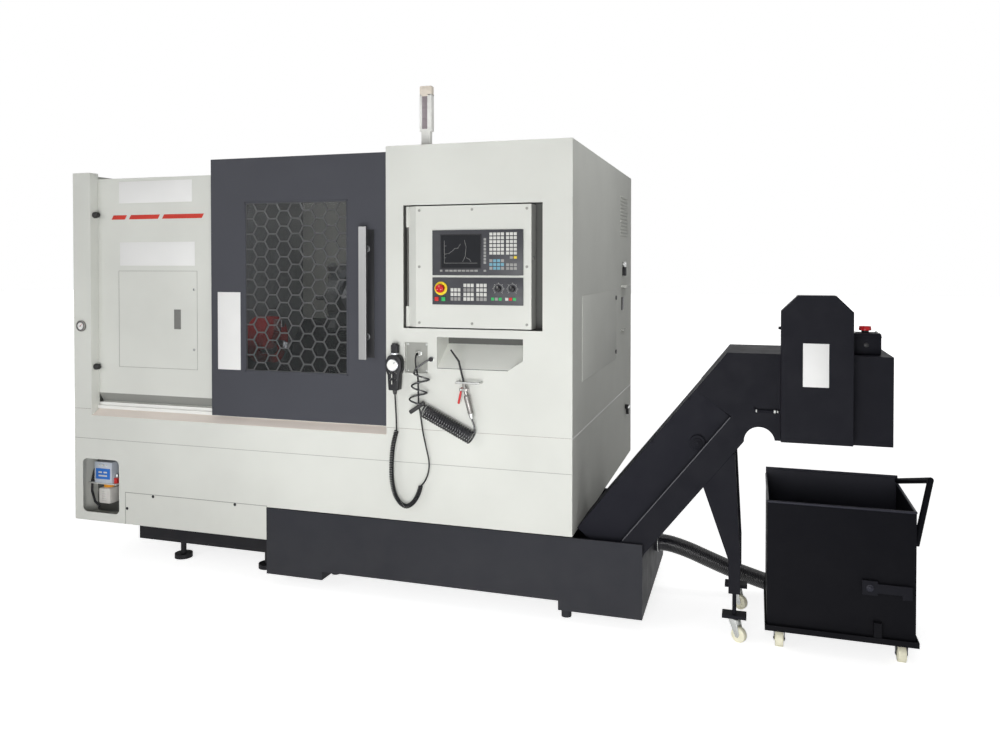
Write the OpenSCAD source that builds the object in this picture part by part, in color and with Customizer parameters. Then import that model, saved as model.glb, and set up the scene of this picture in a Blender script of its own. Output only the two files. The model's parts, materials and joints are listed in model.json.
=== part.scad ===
// Slant-bed turning lathe with a chip conveyor and a chip cart
// X runs along the spindle to the right, Y runs to the back, Z is up

/* [Machine] */
// Length of the guarded machine
machine_l = 2635; // [2550:5:2800]
// Depth of the guarded machine
machine_d = 1735; // [1650:5:1900]
// Height of the control cabinet
cabinet_h = 2070; // [2064:2:2200]
// Step from the cabinet down to the left end
left_drop = 65; // [20:5:85]
// Step from the cabinet down to the headstock cover
cover_drop = 94; // [90:2:130]
// Thickness of the sheet metal
sheet_t = 4; // [3:0.5:5]
// Width of the left column
column_w = 110; // [90:2:130]
// Width of the control cabinet
cabinet_w = 865; // [855:5:900]
// Depth of the headstock cover behind the front
recess_d = 52; // [50:1:60]
// Height of the joint between upper and lower covers
joint_z = 790; // [780:2:792]
// Height of the band under the joint
band_h = 153; // [130:1:170]
// Height of the lower edge above the tank
apron_z = 370; // [368:2:390]
// Height of the lower edge at the left end
skirt_z = 212; // [195:1:230]

/* [Door] */
// Width of the sliding door
door_w = 938; // [900:2:950]
// Thickness of the sliding door
door_t = 34; // [30:1:36]
// Depth of the door face behind the front
door_y = 10; // [6:1:12]
// Step from the cabinet down to the door
door_drop = 24; // [8:1:30]
// Width of the window
window_w = 540; // [500:2:560]
// Height of the window
window_h = 806; // [780:2:830]
// Height of the lower window edge above the floor
window_z = 1022; // [1000:2:1050]
// Distance of the window from the right door edge
window_side = 201; // [190:1:215]
// Length of the door handle
handle_l = 606; // [500:2:700]
// Width of the door handle
handle_w = 38; // [30:1:44]
// Thickness of the handle bar
handle_t = 12; // [8:1:16]
// Finger space behind the handle bar
handle_gap = 38; // [32:1:50]
// Height of the lower handle end above the floor
handle_z = 1100; // [1050:2:1200]
// Distance of the handle from the right door edge
handle_side = 78; // [70:1:90]

/* [Window guard] */
// Side of one honeycomb cell
hex_side = 42; // [40:1:48]
// Width of the honeycomb bars
hex_bar = 7; // [5:0.5:9]
// Thickness of the honeycomb plate
guard_t = 3; // [2:0.5:4]
// Thickness of the window pane
glass_t = 6; // [5:0.5:8]

/* [Hatch] */
// Width of the hatch in the headstock cover
hatch_w = 474; // [440:2:500]
// Height of the hatch
hatch_h = 492; // [460:2:520]
// Height of the lower hatch edge above the floor
hatch_z = 1008; // [980:2:1040]
// Distance of the hatch from the left column
hatch_side = 131; // [110:1:150]

/* [Control panel] */
// Width of the panel opening
opening_w = 648; // [630:2:660]
// Height of the panel opening
opening_h = 554; // [550:2:570]
// Height of the panel opening above the floor
opening_z = 1246; // [1230:2:1250]
// Distance of the opening from the right end
opening_side = 131; // [120:1:140]
// Width of the swinging panel
panel_w = 582; // [575:1:590]
// Height of the swinging panel
panel_h = 542; // [530:1:545]
// Depth of the swinging panel
panel_t = 75; // [60:1:80]
// Depth of the recess behind the panel
panel_recess = 95; // [88:1:120]
// Width of the operator unit
unit_w = 420; // [410:2:430]
// Height of the display unit
unit_h = 200; // [190:2:210]
// Height of the key panel
keys_h = 120; // [110:2:130]
// Height of the display unit above the floor
unit_z = 1485; // [1480:1:1495]

/* [Cabinet pockets] */
// Width of the tray pocket
tray_w = 399; // [370:1:405]
// Height of the tray pocket
tray_h = 141; // [130:1:146]
// Depth of the tray pocket
tray_d = 150; // [120:2:200]
// Height of the tray pocket above the floor
tray_z = 1068; // [1060:1:1080]
// Distance of the tray pocket from the right end
tray_side = 218; // [210:1:230]
// Width of the socket recess
socket_w = 110; // [100:1:120]
// Height of the socket recess
socket_h = 139; // [130:1:150]

/* [Spindle] */
// Distance of the spindle axis behind the front
spindle_y = 560; // [550:5:600]
// Height of the spindle axis
spindle_z = 1120; // [1110:5:1150]
// Distance of the spindle nose from the right end
nose_x = 1905; // [1890:5:1920]
// Radius of the spindle in its bearings
spindle_r = 60; // [55:1:65]
// Radius of the spindle bore
bore_r = 31; // [25:1:36]
// Radius of the bearings
bearing_r = 90; // [85:1:95]
// Length of the headstock
head_l = 310; // [280:5:330]
// Half width of the headstock
head_s = 170; // [150:5:180]
// Radius of the chuck
chuck_r = 127; // [120:1:135]
// Thickness of the chuck
chuck_t = 110; // [100:1:120]
// Width of a chuck jaw
jaw_w = 38; // [34:1:44]
// Radius of the spindle pulley
pulley_r = 110; // [100:1:120]
// Radius of the motor pulley
motor_pulley_r = 70; // [60:1:80]
// Side of the spindle motor
motor_s = 260; // [240:5:280]

/* [Bed and slides] */
// Slope of the bed
slant = 45; // [40:1:50]
// Distance of the bed face below the spindle axis
bed_drop = 330; // [320:5:340]
// Length of the carriage
carriage_l = 250; // [230:5:260]
// Distance of the carriage from the right end
carriage_x = 1180; // [1165:5:1195]
// Thickness of the carriage saddle
saddle_t = 70; // [60:2:80]
// Thickness of the cross slide
cross_t = 90; // [80:2:100]
// Distance of the turret axis from the spindle axis
turret_u = 330; // [325:5:345]
// Radius of the turret disc
turret_r = 190; // [180:5:200]
// Thickness of the turret disc
turret_t = 70; // [60:2:80]
// Number of tool stations
tool_n = 8; // [8, 10, 12]
// Length of the tailstock
tail_l = 260; // [230:5:270]
// Distance of the tailstock from the right end
tail_x = 380; // [370:5:400]
// Radius of the tailstock quill
quill_r = 45; // [40:1:50]
// Length of quill that stands out
quill_out = 90; // [60:2:110]

/* [Tank] */
// Length of the coolant tank
tank_l = 1792; // [1700:2:1800]
// Depth of the coolant tank
tank_d = 830; // [780:5:835]
// Distance that the tank stands out at the right end
tank_out = 297; // [290:1:310]
// Height of the tank floor
tank_z = 50; // [40:1:60]
// Height of the tank rim
tank_top = 366; // [350:1:366]
// Wall of the tank
tank_wall = 5; // [4:0.5:8]

/* [Conveyor] */
// Width of the conveyor casing
conv_w = 380; // [340:5:400]
// Distance of the conveyor behind the front
conv_y = 20; // [15:1:30]
// Slope of the conveyor
incline = 51.3; // [49:0.1:53]
// Thickness of the lower casing
casing_t = 101; // [90:1:110]
// Height of the cover over the casing
cover_t = 173; // [160:1:180]
// Length of the sloping casing
casing_l = 955; // [930:5:965]
// Length of the sloping cover
slope_cover_l = 811; // [790:1:812]
// Distance of the casing's knee from the machine
knee_x = 650; // [645:1:660]
// Height of the casing's knee
knee_z = 918; // [914:1:924]
// Height of the head box floor
head_z = 830; // [822:1:834]
// Height of the head box
headbox_h = 346; // [330:1:360]
// Distance of the head box end from the machine
headbox_x = 1250; // [1220:2:1300]
// Width of the chain guard
chain_w = 262; // [240:2:280]
// Height of the chain guard
chain_h = 572; // [540:2:600]
// Depth of the chain guard
chain_d = 75; // [60:1:90]
// Radius of the conveyor's wheels
conv_wheel_r = 31; // [28:1:34]

/* [Chip cart] */
// Distance of the cart from the machine
cart_x = 783; // [775:1:800]
// Length of the cart
cart_l = 559; // [530:1:580]
// Depth of the cart
cart_d = 500; // [460:5:520]
// Height of the front rim
cart_h = 584; // [560:2:600]
// Height of the back rim
cart_back_h = 614; // [600:2:640]
// Height of the floor tray
cart_z = 76; // [72:1:82]
// Radius of the cart's wheels
cart_wheel_r = 32; // [28:1:34]

/* [Fittings] */
// Width of the signal lamp
lamp_w = 60; // [50:1:70]
// Height of the signal lamp
lamp_h = 285; // [250:5:300]
// Radius of the pressure gauge
gauge_r = 29; // [25:1:33]
// Height of the pressure gauge
gauge_z = 1217; // [1180:1:1250]
// Width of the hand pendant
pendant_w = 76; // [70:1:84]
// Height of the hand pendant
pendant_h = 180; // [170:1:190]
// Radius of the thin pendant cable
cable_r = 3.5; // [3:0.5:5]
// Radius of the curly pendant cable
curl_r = 11; // [9:0.5:13]
// Radius of the air hose
hose_r = 4; // [3:0.5:5]
// Radius of the wound air hose
coil_r = 31; // [26:1:33]
// Radius of the drain hose
drain_r = 38; // [32:1:44]

/* [Hidden] */
$fn = 48;
over = 1;
gap = 0.3;
shade_beige = [0.82, 0.81, 0.75];
shade_dark = [0.19, 0.19, 0.21];
shade_iron = [0.35, 0.36, 0.38];
shade_steel = [0.72, 0.73, 0.75];
shade_black = [0.08, 0.08, 0.09];
shade_white = [0.92, 0.92, 0.9];
shade_red = [0.78, 0.1, 0.1];
shade_glass = [0.6, 0.66, 0.68, 0.35];

// Main planes of the covers
x_left = -machine_l;
left_h = cabinet_h - left_drop;
cover_h = cabinet_h - cover_drop;
x_column = x_left + column_w;
x_cab = -cabinet_w;
door_clear = 3;
door_x1 = x_cab - door_clear;
door_x0 = door_x1 - door_w;
door_z = joint_z + sheet_t;
door_h = cabinet_h - door_drop - door_z;
door_top = door_z + door_h;
window_x1 = door_x1 - window_side;
window_x0 = window_x1 - window_w;
band_z = joint_z - band_h;
lip_drop = 33;
sill_z = joint_z - lip_drop;
sill_back = joint_z - sheet_t;
sill_y = recess_d + door_t;
ledge_z = 868;
ledge_h = 47;
rail_step = 13;
x_tank0 = tank_out - tank_l;
kick_in = 318;
kick_seam = 3;
notch_in = 298;
notch_out = 62;
notch_x0 = x_tank0 + notch_in;
notch_x1 = -notch_out;
notch_h = 40;
tank_foot_r = 22;
foot_x = [x_tank0 + tank_foot_r * 2, notch_x0 - tank_foot_r * 2, notch_x1 + tank_foot_r,
  tank_out - tank_foot_r * 2];
foot_y = [tank_foot_r * 10, tank_foot_r * 10, tank_foot_r * 3.2, tank_foot_r * 10];
tank_feet = [for (i = [0:3]) each [[foot_x[i], foot_y[i]], [foot_x[i], tank_d - tank_foot_r * 2]]];
kick_x0 = x_left + kick_in;
kick_top = apron_z + kick_seam * 2;
hatch_x0 = x_column + hatch_side;
hatch_seam = 0.8;
bump_r = 13;
bump_l = 24;
stop_low = 1005;
stop_high = 1789;
stop_z = [stop_low, stop_high];
tray_x1 = -tray_side;
tray_x0 = tray_x1 - tray_w;
tray_rise = 47;
tray_run = 70;
tray_climb = 102;
cab_y = tray_d * 2;
socket_land = 45;
socket_x1 = tray_x0 - socket_land;
socket_x0 = socket_x1 - socket_w;
socket_drop = 26;
socket_z = tray_z + tray_h - socket_drop - socket_h;
socket_y = 14;
opening_x1 = -opening_side;
opening_x0 = opening_x1 - opening_w;
panel_land = 17;
panel_x0 = opening_x0 + panel_land;
panel_x1 = panel_x0 + panel_w;
panel_z = opening_z + (opening_h - panel_h) / 2;
panel_y = -3;
panel_bevel = 46;
panel_bevel_d = 26;
pivot_r = 5;
pivot_t = 4;
pivot_x = panel_x0 - pivot_r;
pivot_y = panel_y + panel_bevel_d;
unit_t = 7;
unit_land = 127;
unit_x0 = panel_x0 + unit_land;
unit_y = panel_y - unit_t;
keys_land = 10;
keys_z = unit_z - keys_land - keys_h;
estop_x = unit_x0 + unit_w * 0.1;
knob_z = keys_z + keys_h * 0.6;
estop_r = 20;
estop_t = 22;
estop_travel = 5;
ring_r = 30;
ring_t = 4;
knob_r = 13;
knob_t = 16;
wide_key_shares = [0.2, 0.345, 0.49];
small_key_shares = [0.65, 0.805];

// Bed, headstock and slides, along and across the sloping face
base_x0 = x_left + column_w * 2.5;
base_y0 = 150;
base_z0 = 90;
base_h = 220;
base_back = 1300;
bed_end = 250;
bed_u0 = -265;
bed_u1 = 430;
bed_over_tank = 54;
way_h = 24;
way_w = 46;
way_shares = [0.043, 0.245, 0.439, 0.856];
way_u = [for (c = way_shares) bed_u0 + (bed_u1 - bed_u0) * c];
head_x1 = -nose_x - head_s / 4;
head_x0 = head_x1 - head_l;
bearing_l = 60;
run_gap = 0.04;
nose_r = 85;
nose_t = 40;
pulley_w = 60;
pulley_gap = 12;
pulley_x1 = head_x0 - pulley_gap;
pulley_x0 = pulley_x1 - pulley_w;
motor_y = 400;
motor_z = 530;
motor_l = 420;
motor_x0 = pulley_x1 + pulley_gap * 2;
motor_shaft_r = 24;
motor_shaft_in = 120;
motor_foot = 16;
belt_t = 8;
belt_edge = 6;
chuck_x0 = -nose_x;
chuck_x1 = chuck_x0 + chuck_t;
chuck_hole_r = 37;
jaw_deep = 30;
jaw_out = 48;
jaw_r0 = 48;
jaw_r1 = 112;
jaw_step = 22;
saddle_u0 = -20;
saddle_u1 = 400;
saddle_x1 = -carriage_x;
saddle_x0 = saddle_x1 - carriage_l;
cross_u0 = 120;
cross_u1 = 480;
cross_in = 15;
dovetail = 24;
housing_u0 = 210;
housing_u1 = 450;
housing_h = 115;
turret_x1 = saddle_x0 - cross_in;
turret_x0 = turret_x1 - turret_t;
turret_hub_r = 60;
turret_hub_l = 40;
tool_w = 32;
tool_l = 62;
tool_h = 58;
tail_u0 = -255;
tail_u1 = 90;
tail_x1 = -tail_x;
tail_x0 = tail_x1 - tail_l;
tail_top = 90;
tail_waist = 60;
quill_l = 240;
quill_tip = 60;
pad_r = 45;
pad_h = 22;
pad_bolt_r = 14;
pad_in = 60;

// Conveyor outline in its own slope, along s and across t
knee_s = -46;
seam_s = -10;
arc_r = 59;
arc_in = 109;
arc_x = knee_x + arc_in;
arc_x1 = arc_x + arc_r;
outlet_l = 330;
outlet_x0 = headbox_x - outlet_l;
setback = 40;
chain_in = 188;
chain_x0 = knee_x + chain_in;
chain_lift = 10;
chain_z = head_z + chain_lift;
chain_cut = 62;
leg_t = 40;
leg_w = 46;
leg_z = 196;
leg_bend = 134;
leg_run = 23;
leg_y = [conv_y, conv_y + conv_w - leg_t];
leg_in = 38;
leg_x1 = knee_x + leg_in;
leg_s0 = -300;
leg_s1 = -116;
jack_r = 8;
jack_plate_h = 14;
jack_plate_l = 96;
jack_plate_w = 60;
jack_plate_z = 98;
caster_reach = 44;
caster_turn = 30;
wheel_w = 24;
fork_t = 3;
axle_r = 5;
box_l = 110;
box_d = 90;
box_h = 86;
box_land = 146;
box_y = 60;
stop_r = 24;
stop_h = 26;

// Chip cart outline
cart_y = -5;
cart_wall = 4;
cart_lip = 22;
cart_in = 30;
cart_side_in = 8;
cart_wheel_in = 56;
cart_wheel_y = 46;
grip_r = 12;
grip_out = 70;
grip_y = 200;
grip_z = 672;
grip_low = 458;
lever_x = 386;
lever_z = 285;
lever_l = 150;
lever_h = 36;
lever_t = 10;
lever_end = 52;
lever_pin_r = 8;
lever_block = 56;

// Fittings
lamp_x = -712;
lamp_y = 100;
lamp_t = 34;
lamp_base_h = 76;
gauge_t = 12;
gauge_in = 51;
gauge_x = x_left + gauge_in;
pump_in = 66;
pump_x = x_left + pump_in;
pump_w = 114;
pump_h = 112;
pump_d = 90;
pump_y = 60;
pump_z = 390;
shelf_t = 4;
cap_r = 24;
cap_h = 22;
jar_w = 76;
jar_h = 84;
jar_r = 12;
lube_in = 50;
lube_x0 = x_left + lube_in;
lube_w = 228;
lube_h = 276;
lube_z = 256;
lube_r = 26;
bay_y = pump_y + pump_d + gap;
bay_x1 = base_x0 - shelf_t;
pendant_x = -846;
pendant_z = 968;
pendant_t = 44;
pendant_y = -52;
pendant_round = 14;
grab_r = 17;
grab_h = 40;
dial_r = 27;
dial_t = 9;
dial_z = 1083;
pick_r = 10;
pick_t = 14;
hook_z = 1016;
hook_x = -508;
hook_l = 104;
hook_r = 5;
hook_out = 46;
gun_y = -35.7;
gun_r = 13;
gun_neck = 8;
gun_low = [-439, gun_y, 858];
gun_mid = [-463, gun_y, 952];
gun_top = [-474, gun_y, 1002];
gun_bend = [-500, gun_y, 1108];
gun_tip = [-538, gun_y, 1158];
nozzle_r = 5;
trigger_l = 66;
trigger_w = 12;
trigger_t = 9;
trigger_tilt = 12;
trigger_pin = [-488, gun_y, 985];
pin_r = 3;
cable_exit = [-704, -22, 1132];
plug_r = 9;
fitting_z = 1110;
fitting_x = -640;

// Cord routes, chosen by hand
cable_a = [[-704, -23.4, 1132], [-704, -31, 1129], [-705.5, -36, 1110], [-706, -30, 1077],
  [-704, -12, 1020],
  [-703, -8, 914], [-696, -8, 875], [-690, -12, 845], [-674, -24, 779], [-657, -32, 721],
  [-643, -32, 657], [-646, -32, 608], [-662, -32, 568], [-684, -32, 541]];
cable_b = [[-683, -32, 544], [-690, -32, 520], [-699, -32, 498], [-715, -32, 472], [-735, -32, 454],
  [-755, -32, 447], [-776, -32, 455], [-795, -32, 474], [-808, -32, 497], [-818, -32, 530],
  [-824, -32, 570], [-825, -32, 620], [-823, -32, 665], [-817, -32, 718], [-801, -32, 783]];
cable_c = [[-800, -32, 780], [-801, -31, 830], [-804, -30, 880], [-808, -30, 947]];
loop_w = 38;
loop_d = 22;
loop_y = -40;
loop_x = -672;
loop_drift = -24;
loop_z = 1053;
loop_drop = 133;
loop_n = 2.25;
loop_steps = 18;
hose_a = concat([[-640, -18, 1110], [-648, -24, 1107], [-672, -32, 1092], [-700, -38, 1070]],
  [for (i = [0:loop_steps]) let (w = 180 + 360 * loop_n * i / loop_steps)
    [loop_x + loop_drift * i / loop_steps + loop_w * cos(w), loop_y + loop_d * sin(w),
      loop_z - loop_drop * i / loop_steps]],
  [[-678, -58, 914], [-664, -46, 909], [-652, -35, 906]]);
coil_a = [[-667, -34.5, 883], [-591, -34.5, 846], [-516, -34.5, 810], [-440, -34.5, 773]];
hose_b = [[-430, -34.5, 795], [-427, -34.8, 812], [-430, -35.3, 830], [-436.53, -35.7, 848.31],
  [-438.93, -35.7, 857.71]];
drain_pts = [[tank_out + gap, 470, 231], [322, 470, 231], [372, 473, 226], [450, 481, 203],
  [540, 496, 165], [630, 516, 126], [720, 540, 92], [800, 566, 62],
  [880, 590, 46], [960, 602, 40], [1040, 606, 40], [1100, 606, 40]];
cuff_l = 60;
cuff_t = 4;

// Whole part, centred over the floor
x_hi = cart_x + cart_l + grip_out + grip_r + gap;
y_lo = pendant_y - pick_t;
x_mid = (x_left + x_hi) / 2;
y_mid = (y_lo + machine_d) / 2;

// Shared shapes

module block(x0, x1, y0, y1, z0, z1) {
  translate([x0, y0, z0]) cube([x1 - x0, y1 - y0, z1 - z0]);
}

module rod_x(r, x0, x1, y, z) {
  translate([x0, y, z]) rotate([0, 90, 0]) cylinder(r = r, h = x1 - x0);
}

module rod_y(r, x, y0, y1, z) {
  translate([x, y1, z]) rotate([90, 0, 0]) cylinder(r = r, h = y1 - y0);
}

module rod_z(r, x, y, z0, z1) {
  translate([x, y, z0]) cylinder(r = r, h = z1 - z0);
}

// Straight round bar between two points
module bar(a, b, r) {
  d = b - a;
  l = norm(d);
  translate(a) rotate([0, acos(d.z / l), atan2(d.y, d.x)]) cylinder(r = r, h = l);
}

// Outline in X and Z, thickened from y0 to y1
module side_plate(pts, y0, y1) {
  translate([0, y1, 0]) rotate([90, 0, 0]) linear_extrude(y1 - y0) polygon(pts);
}

// Outline in Y and Z, stretched from x0 to x1
module profile_x(pts, x0, x1) {
  translate([x0, 0, 0]) rotate([90, 0, 90]) linear_extrude(x1 - x0) polygon(pts);
}

// Rectangle with round corners
module round_rect(w, h, r) {
  translate([r, 0]) square([w - 2 * r, h]);
  translate([0, r]) square([w, h - 2 * r]);
  for (x = [r, w - r], y = [r, h - r]) translate([x, y]) circle(r = r);
}

// Round-cornered block whose outline lies in X and Z
module round_block(x, y0, y1, z, w, h, r) {
  translate([x, y1, z]) rotate([90, 0, 0]) linear_extrude(y1 - y0) round_rect(w, h, r);
}

// Frame of the sloping bed: along X, up the slope and out of the slope, from the spindle axis
module on_slant() {
  translate([0, spindle_y, spindle_z]) rotate([slant, 0, 0]) children();
}

function slant_yz(u, n) = [spindle_y + u * cos(slant) - n * sin(slant),
  spindle_z + u * sin(slant) + n * cos(slant)];

function conv(s, t) = [knee_x + s * cos(incline) - t * sin(incline),
  knee_z + s * sin(incline) + t * cos(incline)];

// Tube along a route of points that never runs along Y
function unit(v) = v / norm(v);
function tangent(p, i) = unit(p[min(i + 1, len(p) - 1)] - p[max(i - 1, 0)]);
function ring(p, i, r, n) = let (t = tangent(p, i), a = unit(cross(t, [0, 1, 0])), b = cross(t, a))
  [for (k = [0:n - 1]) p[i] + r * (cos(360 * k / n) * a + sin(360 * k / n) * b)];

module tube(p, r, n) {
  m = len(p);
  pts = [for (i = [0:m - 1]) each ring(p, i, r, n)];
  sides = [for (i = [0:m - 2], k = [0:n - 1]) [i * n + k, (i + 1) * n + k, (i + 1) * n + (k + 1) % n,
    i * n + (k + 1) % n]];
  start = [for (k = [0:n - 1]) k];
  end = [for (k = [n - 1:-1:0]) (m - 1) * n + k];
  polyhedron(points = pts, faces = concat(sides, [start], [end]), convexity = 10);
}

// Castings and drive

module base_casting() {
  top = slant_yz(bed_u1, -bed_drop);
  low = slant_yz(bed_u0, -bed_drop);
  tank_back = tank_d + pad_in / 2;
  color(shade_dark) {
    block(base_x0, x_tank0 - pad_in / 2, base_y0, base_back, base_z0, base_z0 + base_h);
    profile_x([low, top, [base_back, top.y], [base_back, base_z0 + base_h - over],
      [low.x, base_z0 + base_h - over]],
      base_x0, x_tank0 - pad_in / 2);
    profile_x([low, top, [base_back, top.y], [base_back, base_z0], [tank_back, base_z0],
      [tank_back, apron_z + bed_over_tank],
      [low.x, apron_z + bed_over_tank]], x_tank0 - pad_in / 2 - over, -bed_end);
    on_slant() for (u = way_u)
      block(head_x1 + pad_in, -bed_end, u - way_w / 2, u + way_w / 2, -bed_drop - over, -bed_drop + way_h);
  }
}

module foot(x, y) {
  rod_z(pad_r, x, y, 0, pad_h);
  rod_z(pad_bolt_r, x, y, pad_h, base_z0);
}

module levelling_feet() {
  left_x1 = x_tank0 - pad_in * 2;
  color(shade_black) {
    for (x = [base_x0 + pad_in * 4, left_x1], y = [base_y0 + pad_r, base_back - pad_r]) foot(x, y);
    for (x = [x_cab, -bed_end - pad_r], y = [tank_d + pad_in / 2 + pad_r, base_back - pad_r]) foot(x, y);
  }
}

module headstock() {
  color(shade_iron) difference() {
    on_slant() block(head_x0, head_x1, -head_s, head_s, -bed_drop, head_s);
    rod_x(bearing_r, head_x0 - over, head_x1 + over, spindle_y, spindle_z);
  }
}

module spindle_bearings() {
  color(shade_steel) for (x = [head_x0, head_x1 - bearing_l]) difference() {
    rod_x(bearing_r, x, x + bearing_l, spindle_y, spindle_z);
    rod_x(spindle_r + run_gap, x - over, x + bearing_l + over, spindle_y, spindle_z);
  }
}

module spindle() {
  color(shade_steel) difference() {
    union() {
      rod_x(spindle_r, pulley_x0, chuck_x0 - nose_t + over, spindle_y, spindle_z);
      rod_x(nose_r, chuck_x0 - nose_t, chuck_x0, spindle_y, spindle_z);
      rod_x(pulley_r, pulley_x0, pulley_x1, spindle_y, spindle_z);
    }
    rod_x(bore_r, pulley_x0 - over, chuck_x0 + over, spindle_y, spindle_z);
  }
}

module spindle_motor() {
  s = motor_s / 2;
  color(shade_black) difference() {
    union() {
      block(motor_x0, motor_x0 + motor_l, motor_y - s, motor_y + s, motor_z - s, motor_z + s);
      block(motor_x0, motor_x0 + motor_l, motor_y - s, motor_y + s, base_z0 + base_h,
        base_z0 + base_h + motor_foot);
      for (x = [motor_x0, motor_x0 + motor_l - motor_foot])
        block(x, x + motor_foot, motor_y - s, motor_y + s, base_z0 + base_h, motor_z);
    }
    rod_x(motor_shaft_r + run_gap, motor_x0 - over, motor_x0 + motor_shaft_in + gap, motor_y, motor_z);
  }
}

module motor_pulley() {
  color(shade_steel) {
    rod_x(motor_pulley_r, pulley_x0, pulley_x1, motor_y, motor_z);
    rod_x(motor_shaft_r, pulley_x1 - over, motor_x0 + motor_shaft_in, motor_y, motor_z);
  }
}

module belt_loop(grow) {
  hull() {
    translate([spindle_y, spindle_z]) circle(r = pulley_r + grow, $fn = 96);
    translate([motor_y, motor_z]) circle(r = motor_pulley_r + grow, $fn = 96);
  }
}

module drive_belt() {
  color(shade_black) translate([pulley_x0 + belt_edge, 0, 0]) rotate([90, 0, 90])
    linear_extrude(pulley_w - 2 * belt_edge) difference() {
      belt_loop(belt_t);
      belt_loop(2 * gap);
    }
}

module chuck_body() {
  color(shade_iron) difference() {
    rod_x(chuck_r, chuck_x0, chuck_x1, spindle_y, spindle_z);
    rod_x(chuck_hole_r, chuck_x0 - over, chuck_x1 + over, spindle_y, spindle_z);
    for (i = [0:2]) translate([0, spindle_y, spindle_z]) rotate([120 * i, 0, 0])
      block(chuck_x1 - jaw_deep - gap, chuck_x1 + over, -jaw_w / 2 - gap, jaw_w / 2 + gap, 0,
        chuck_r + over);
  }
}

module jaw(i) {
  color(shade_steel) translate([0, spindle_y, spindle_z]) rotate([120 * i, 0, 0]) {
    block(chuck_x1 - jaw_deep, chuck_x1 + jaw_out / 2, -jaw_w / 2, jaw_w / 2, jaw_r0, jaw_r1);
    block(chuck_x1, chuck_x1 + jaw_out, -jaw_w / 2, jaw_w / 2, jaw_r0 + jaw_step, jaw_r1);
  }
}

module jaw_1() { jaw(0); }

module jaw_2() { jaw(1); }

module jaw_3() { jaw(2); }

// Slides, turret and tailstock

module carriage() {
  way_top = -bed_drop + way_h;
  color(shade_iron) on_slant() {
    block(saddle_x0, saddle_x1, saddle_u0, saddle_u1, way_top + gap, way_top + saddle_t);
    block(saddle_x0 + cross_in * 3, saddle_x1 - cross_in * 3, saddle_u0, saddle_u1,
      way_top + saddle_t - over,
      way_top + saddle_t + dovetail);
  }
}

module cross_slide() {
  low = -bed_drop + way_h + saddle_t;
  color(shade_iron) difference() {
    on_slant() {
      block(saddle_x0 + cross_in, saddle_x1 - cross_in, cross_u0, cross_u1, low + gap, low + cross_t);
      block(saddle_x0, saddle_x1 - cross_in, housing_u0, housing_u1, low + cross_t - over, housing_h);
    }
    on_slant() block(saddle_x0 + cross_in * 3 - gap, saddle_x1 - cross_in * 3 + gap, cross_u0 - over,
      cross_u1 + over,
      low - over, low + dovetail + gap);
    on_slant() rod_x(turret_hub_r + run_gap, saddle_x0 - over, saddle_x0 + turret_hub_l + gap, turret_u, 0);
  }
}

module turret_disc() {
  color(shade_steel) on_slant() translate([0, turret_u, 0]) {
    rod_x(turret_r * cos(180 / tool_n), turret_x0, turret_x1, 0, 0);
    rod_x(turret_hub_r, turret_x1 - over, saddle_x0 + turret_hub_l, 0, 0);
    for (i = [0:tool_n - 1]) rotate([360 * i / tool_n, 0, 0]) {
      block(turret_x0, turret_x1, -tool_w, tool_w, turret_r - tool_h, turret_r);
      if (i % 2 == 0)
        block(turret_x0 + cross_in, turret_x1 - cross_in, -tool_w / 2, tool_w / 2, turret_r - over,
          turret_r + tool_l);
      else
        rod_x(tool_w / 2, turret_x0 - tool_l, turret_x0 + over, 0, turret_r - tool_w);
    }
  }
}

module tailstock() {
  way_top = -bed_drop + way_h;
  color(shade_iron) on_slant() difference() {
    union() {
      block(tail_x0, tail_x1, tail_u0, 0, way_top + gap, way_top + saddle_t);
      profile_x([[tail_u0 + tail_waist, way_top + saddle_t - over], [0, way_top + saddle_t - over],
        [tail_u1, -tail_top],
        [tail_u1, tail_top], [-tail_u1, tail_top], [-tail_u1 - tail_waist, -tail_top]], tail_x0, tail_x1);
    }
    rod_x(quill_r + run_gap, tail_x0 - over, tail_x0 + quill_l - quill_out + tail_waist, 0, 0);
  }
}

module quill() {
  x0 = tail_x0 - quill_out;
  color(shade_steel) {
    rod_x(quill_r, x0, x0 + quill_l, spindle_y, spindle_z);
    translate([x0, spindle_y, spindle_z]) rotate([0, -90, 0]) cylinder(r1 = quill_r / 2, r2 = 0,
      h = quill_tip);
  }
}

// Sheet-metal covers

module left_end_cover() {
  color(shade_beige) {
    difference() {
      block(x_left, x_left + sheet_t, 0, machine_d - sheet_t, joint_z, left_h);
      rod_x(bore_r * 2, x_left - over, x_left + sheet_t + over, spindle_y, spindle_z);
    }
    difference() {
      block(x_left, x_column, 0, recess_d + sheet_t, joint_z, left_h);
      block(x_left + sheet_t, x_column - sheet_t, sheet_t, recess_d + sheet_t + over, joint_z - over,
        left_h - sheet_t);
    }
    for (z = stop_z) rod_x(bump_r, x_column - over, x_column + bump_l, door_y + door_t / 2, z);
  }
}

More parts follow.
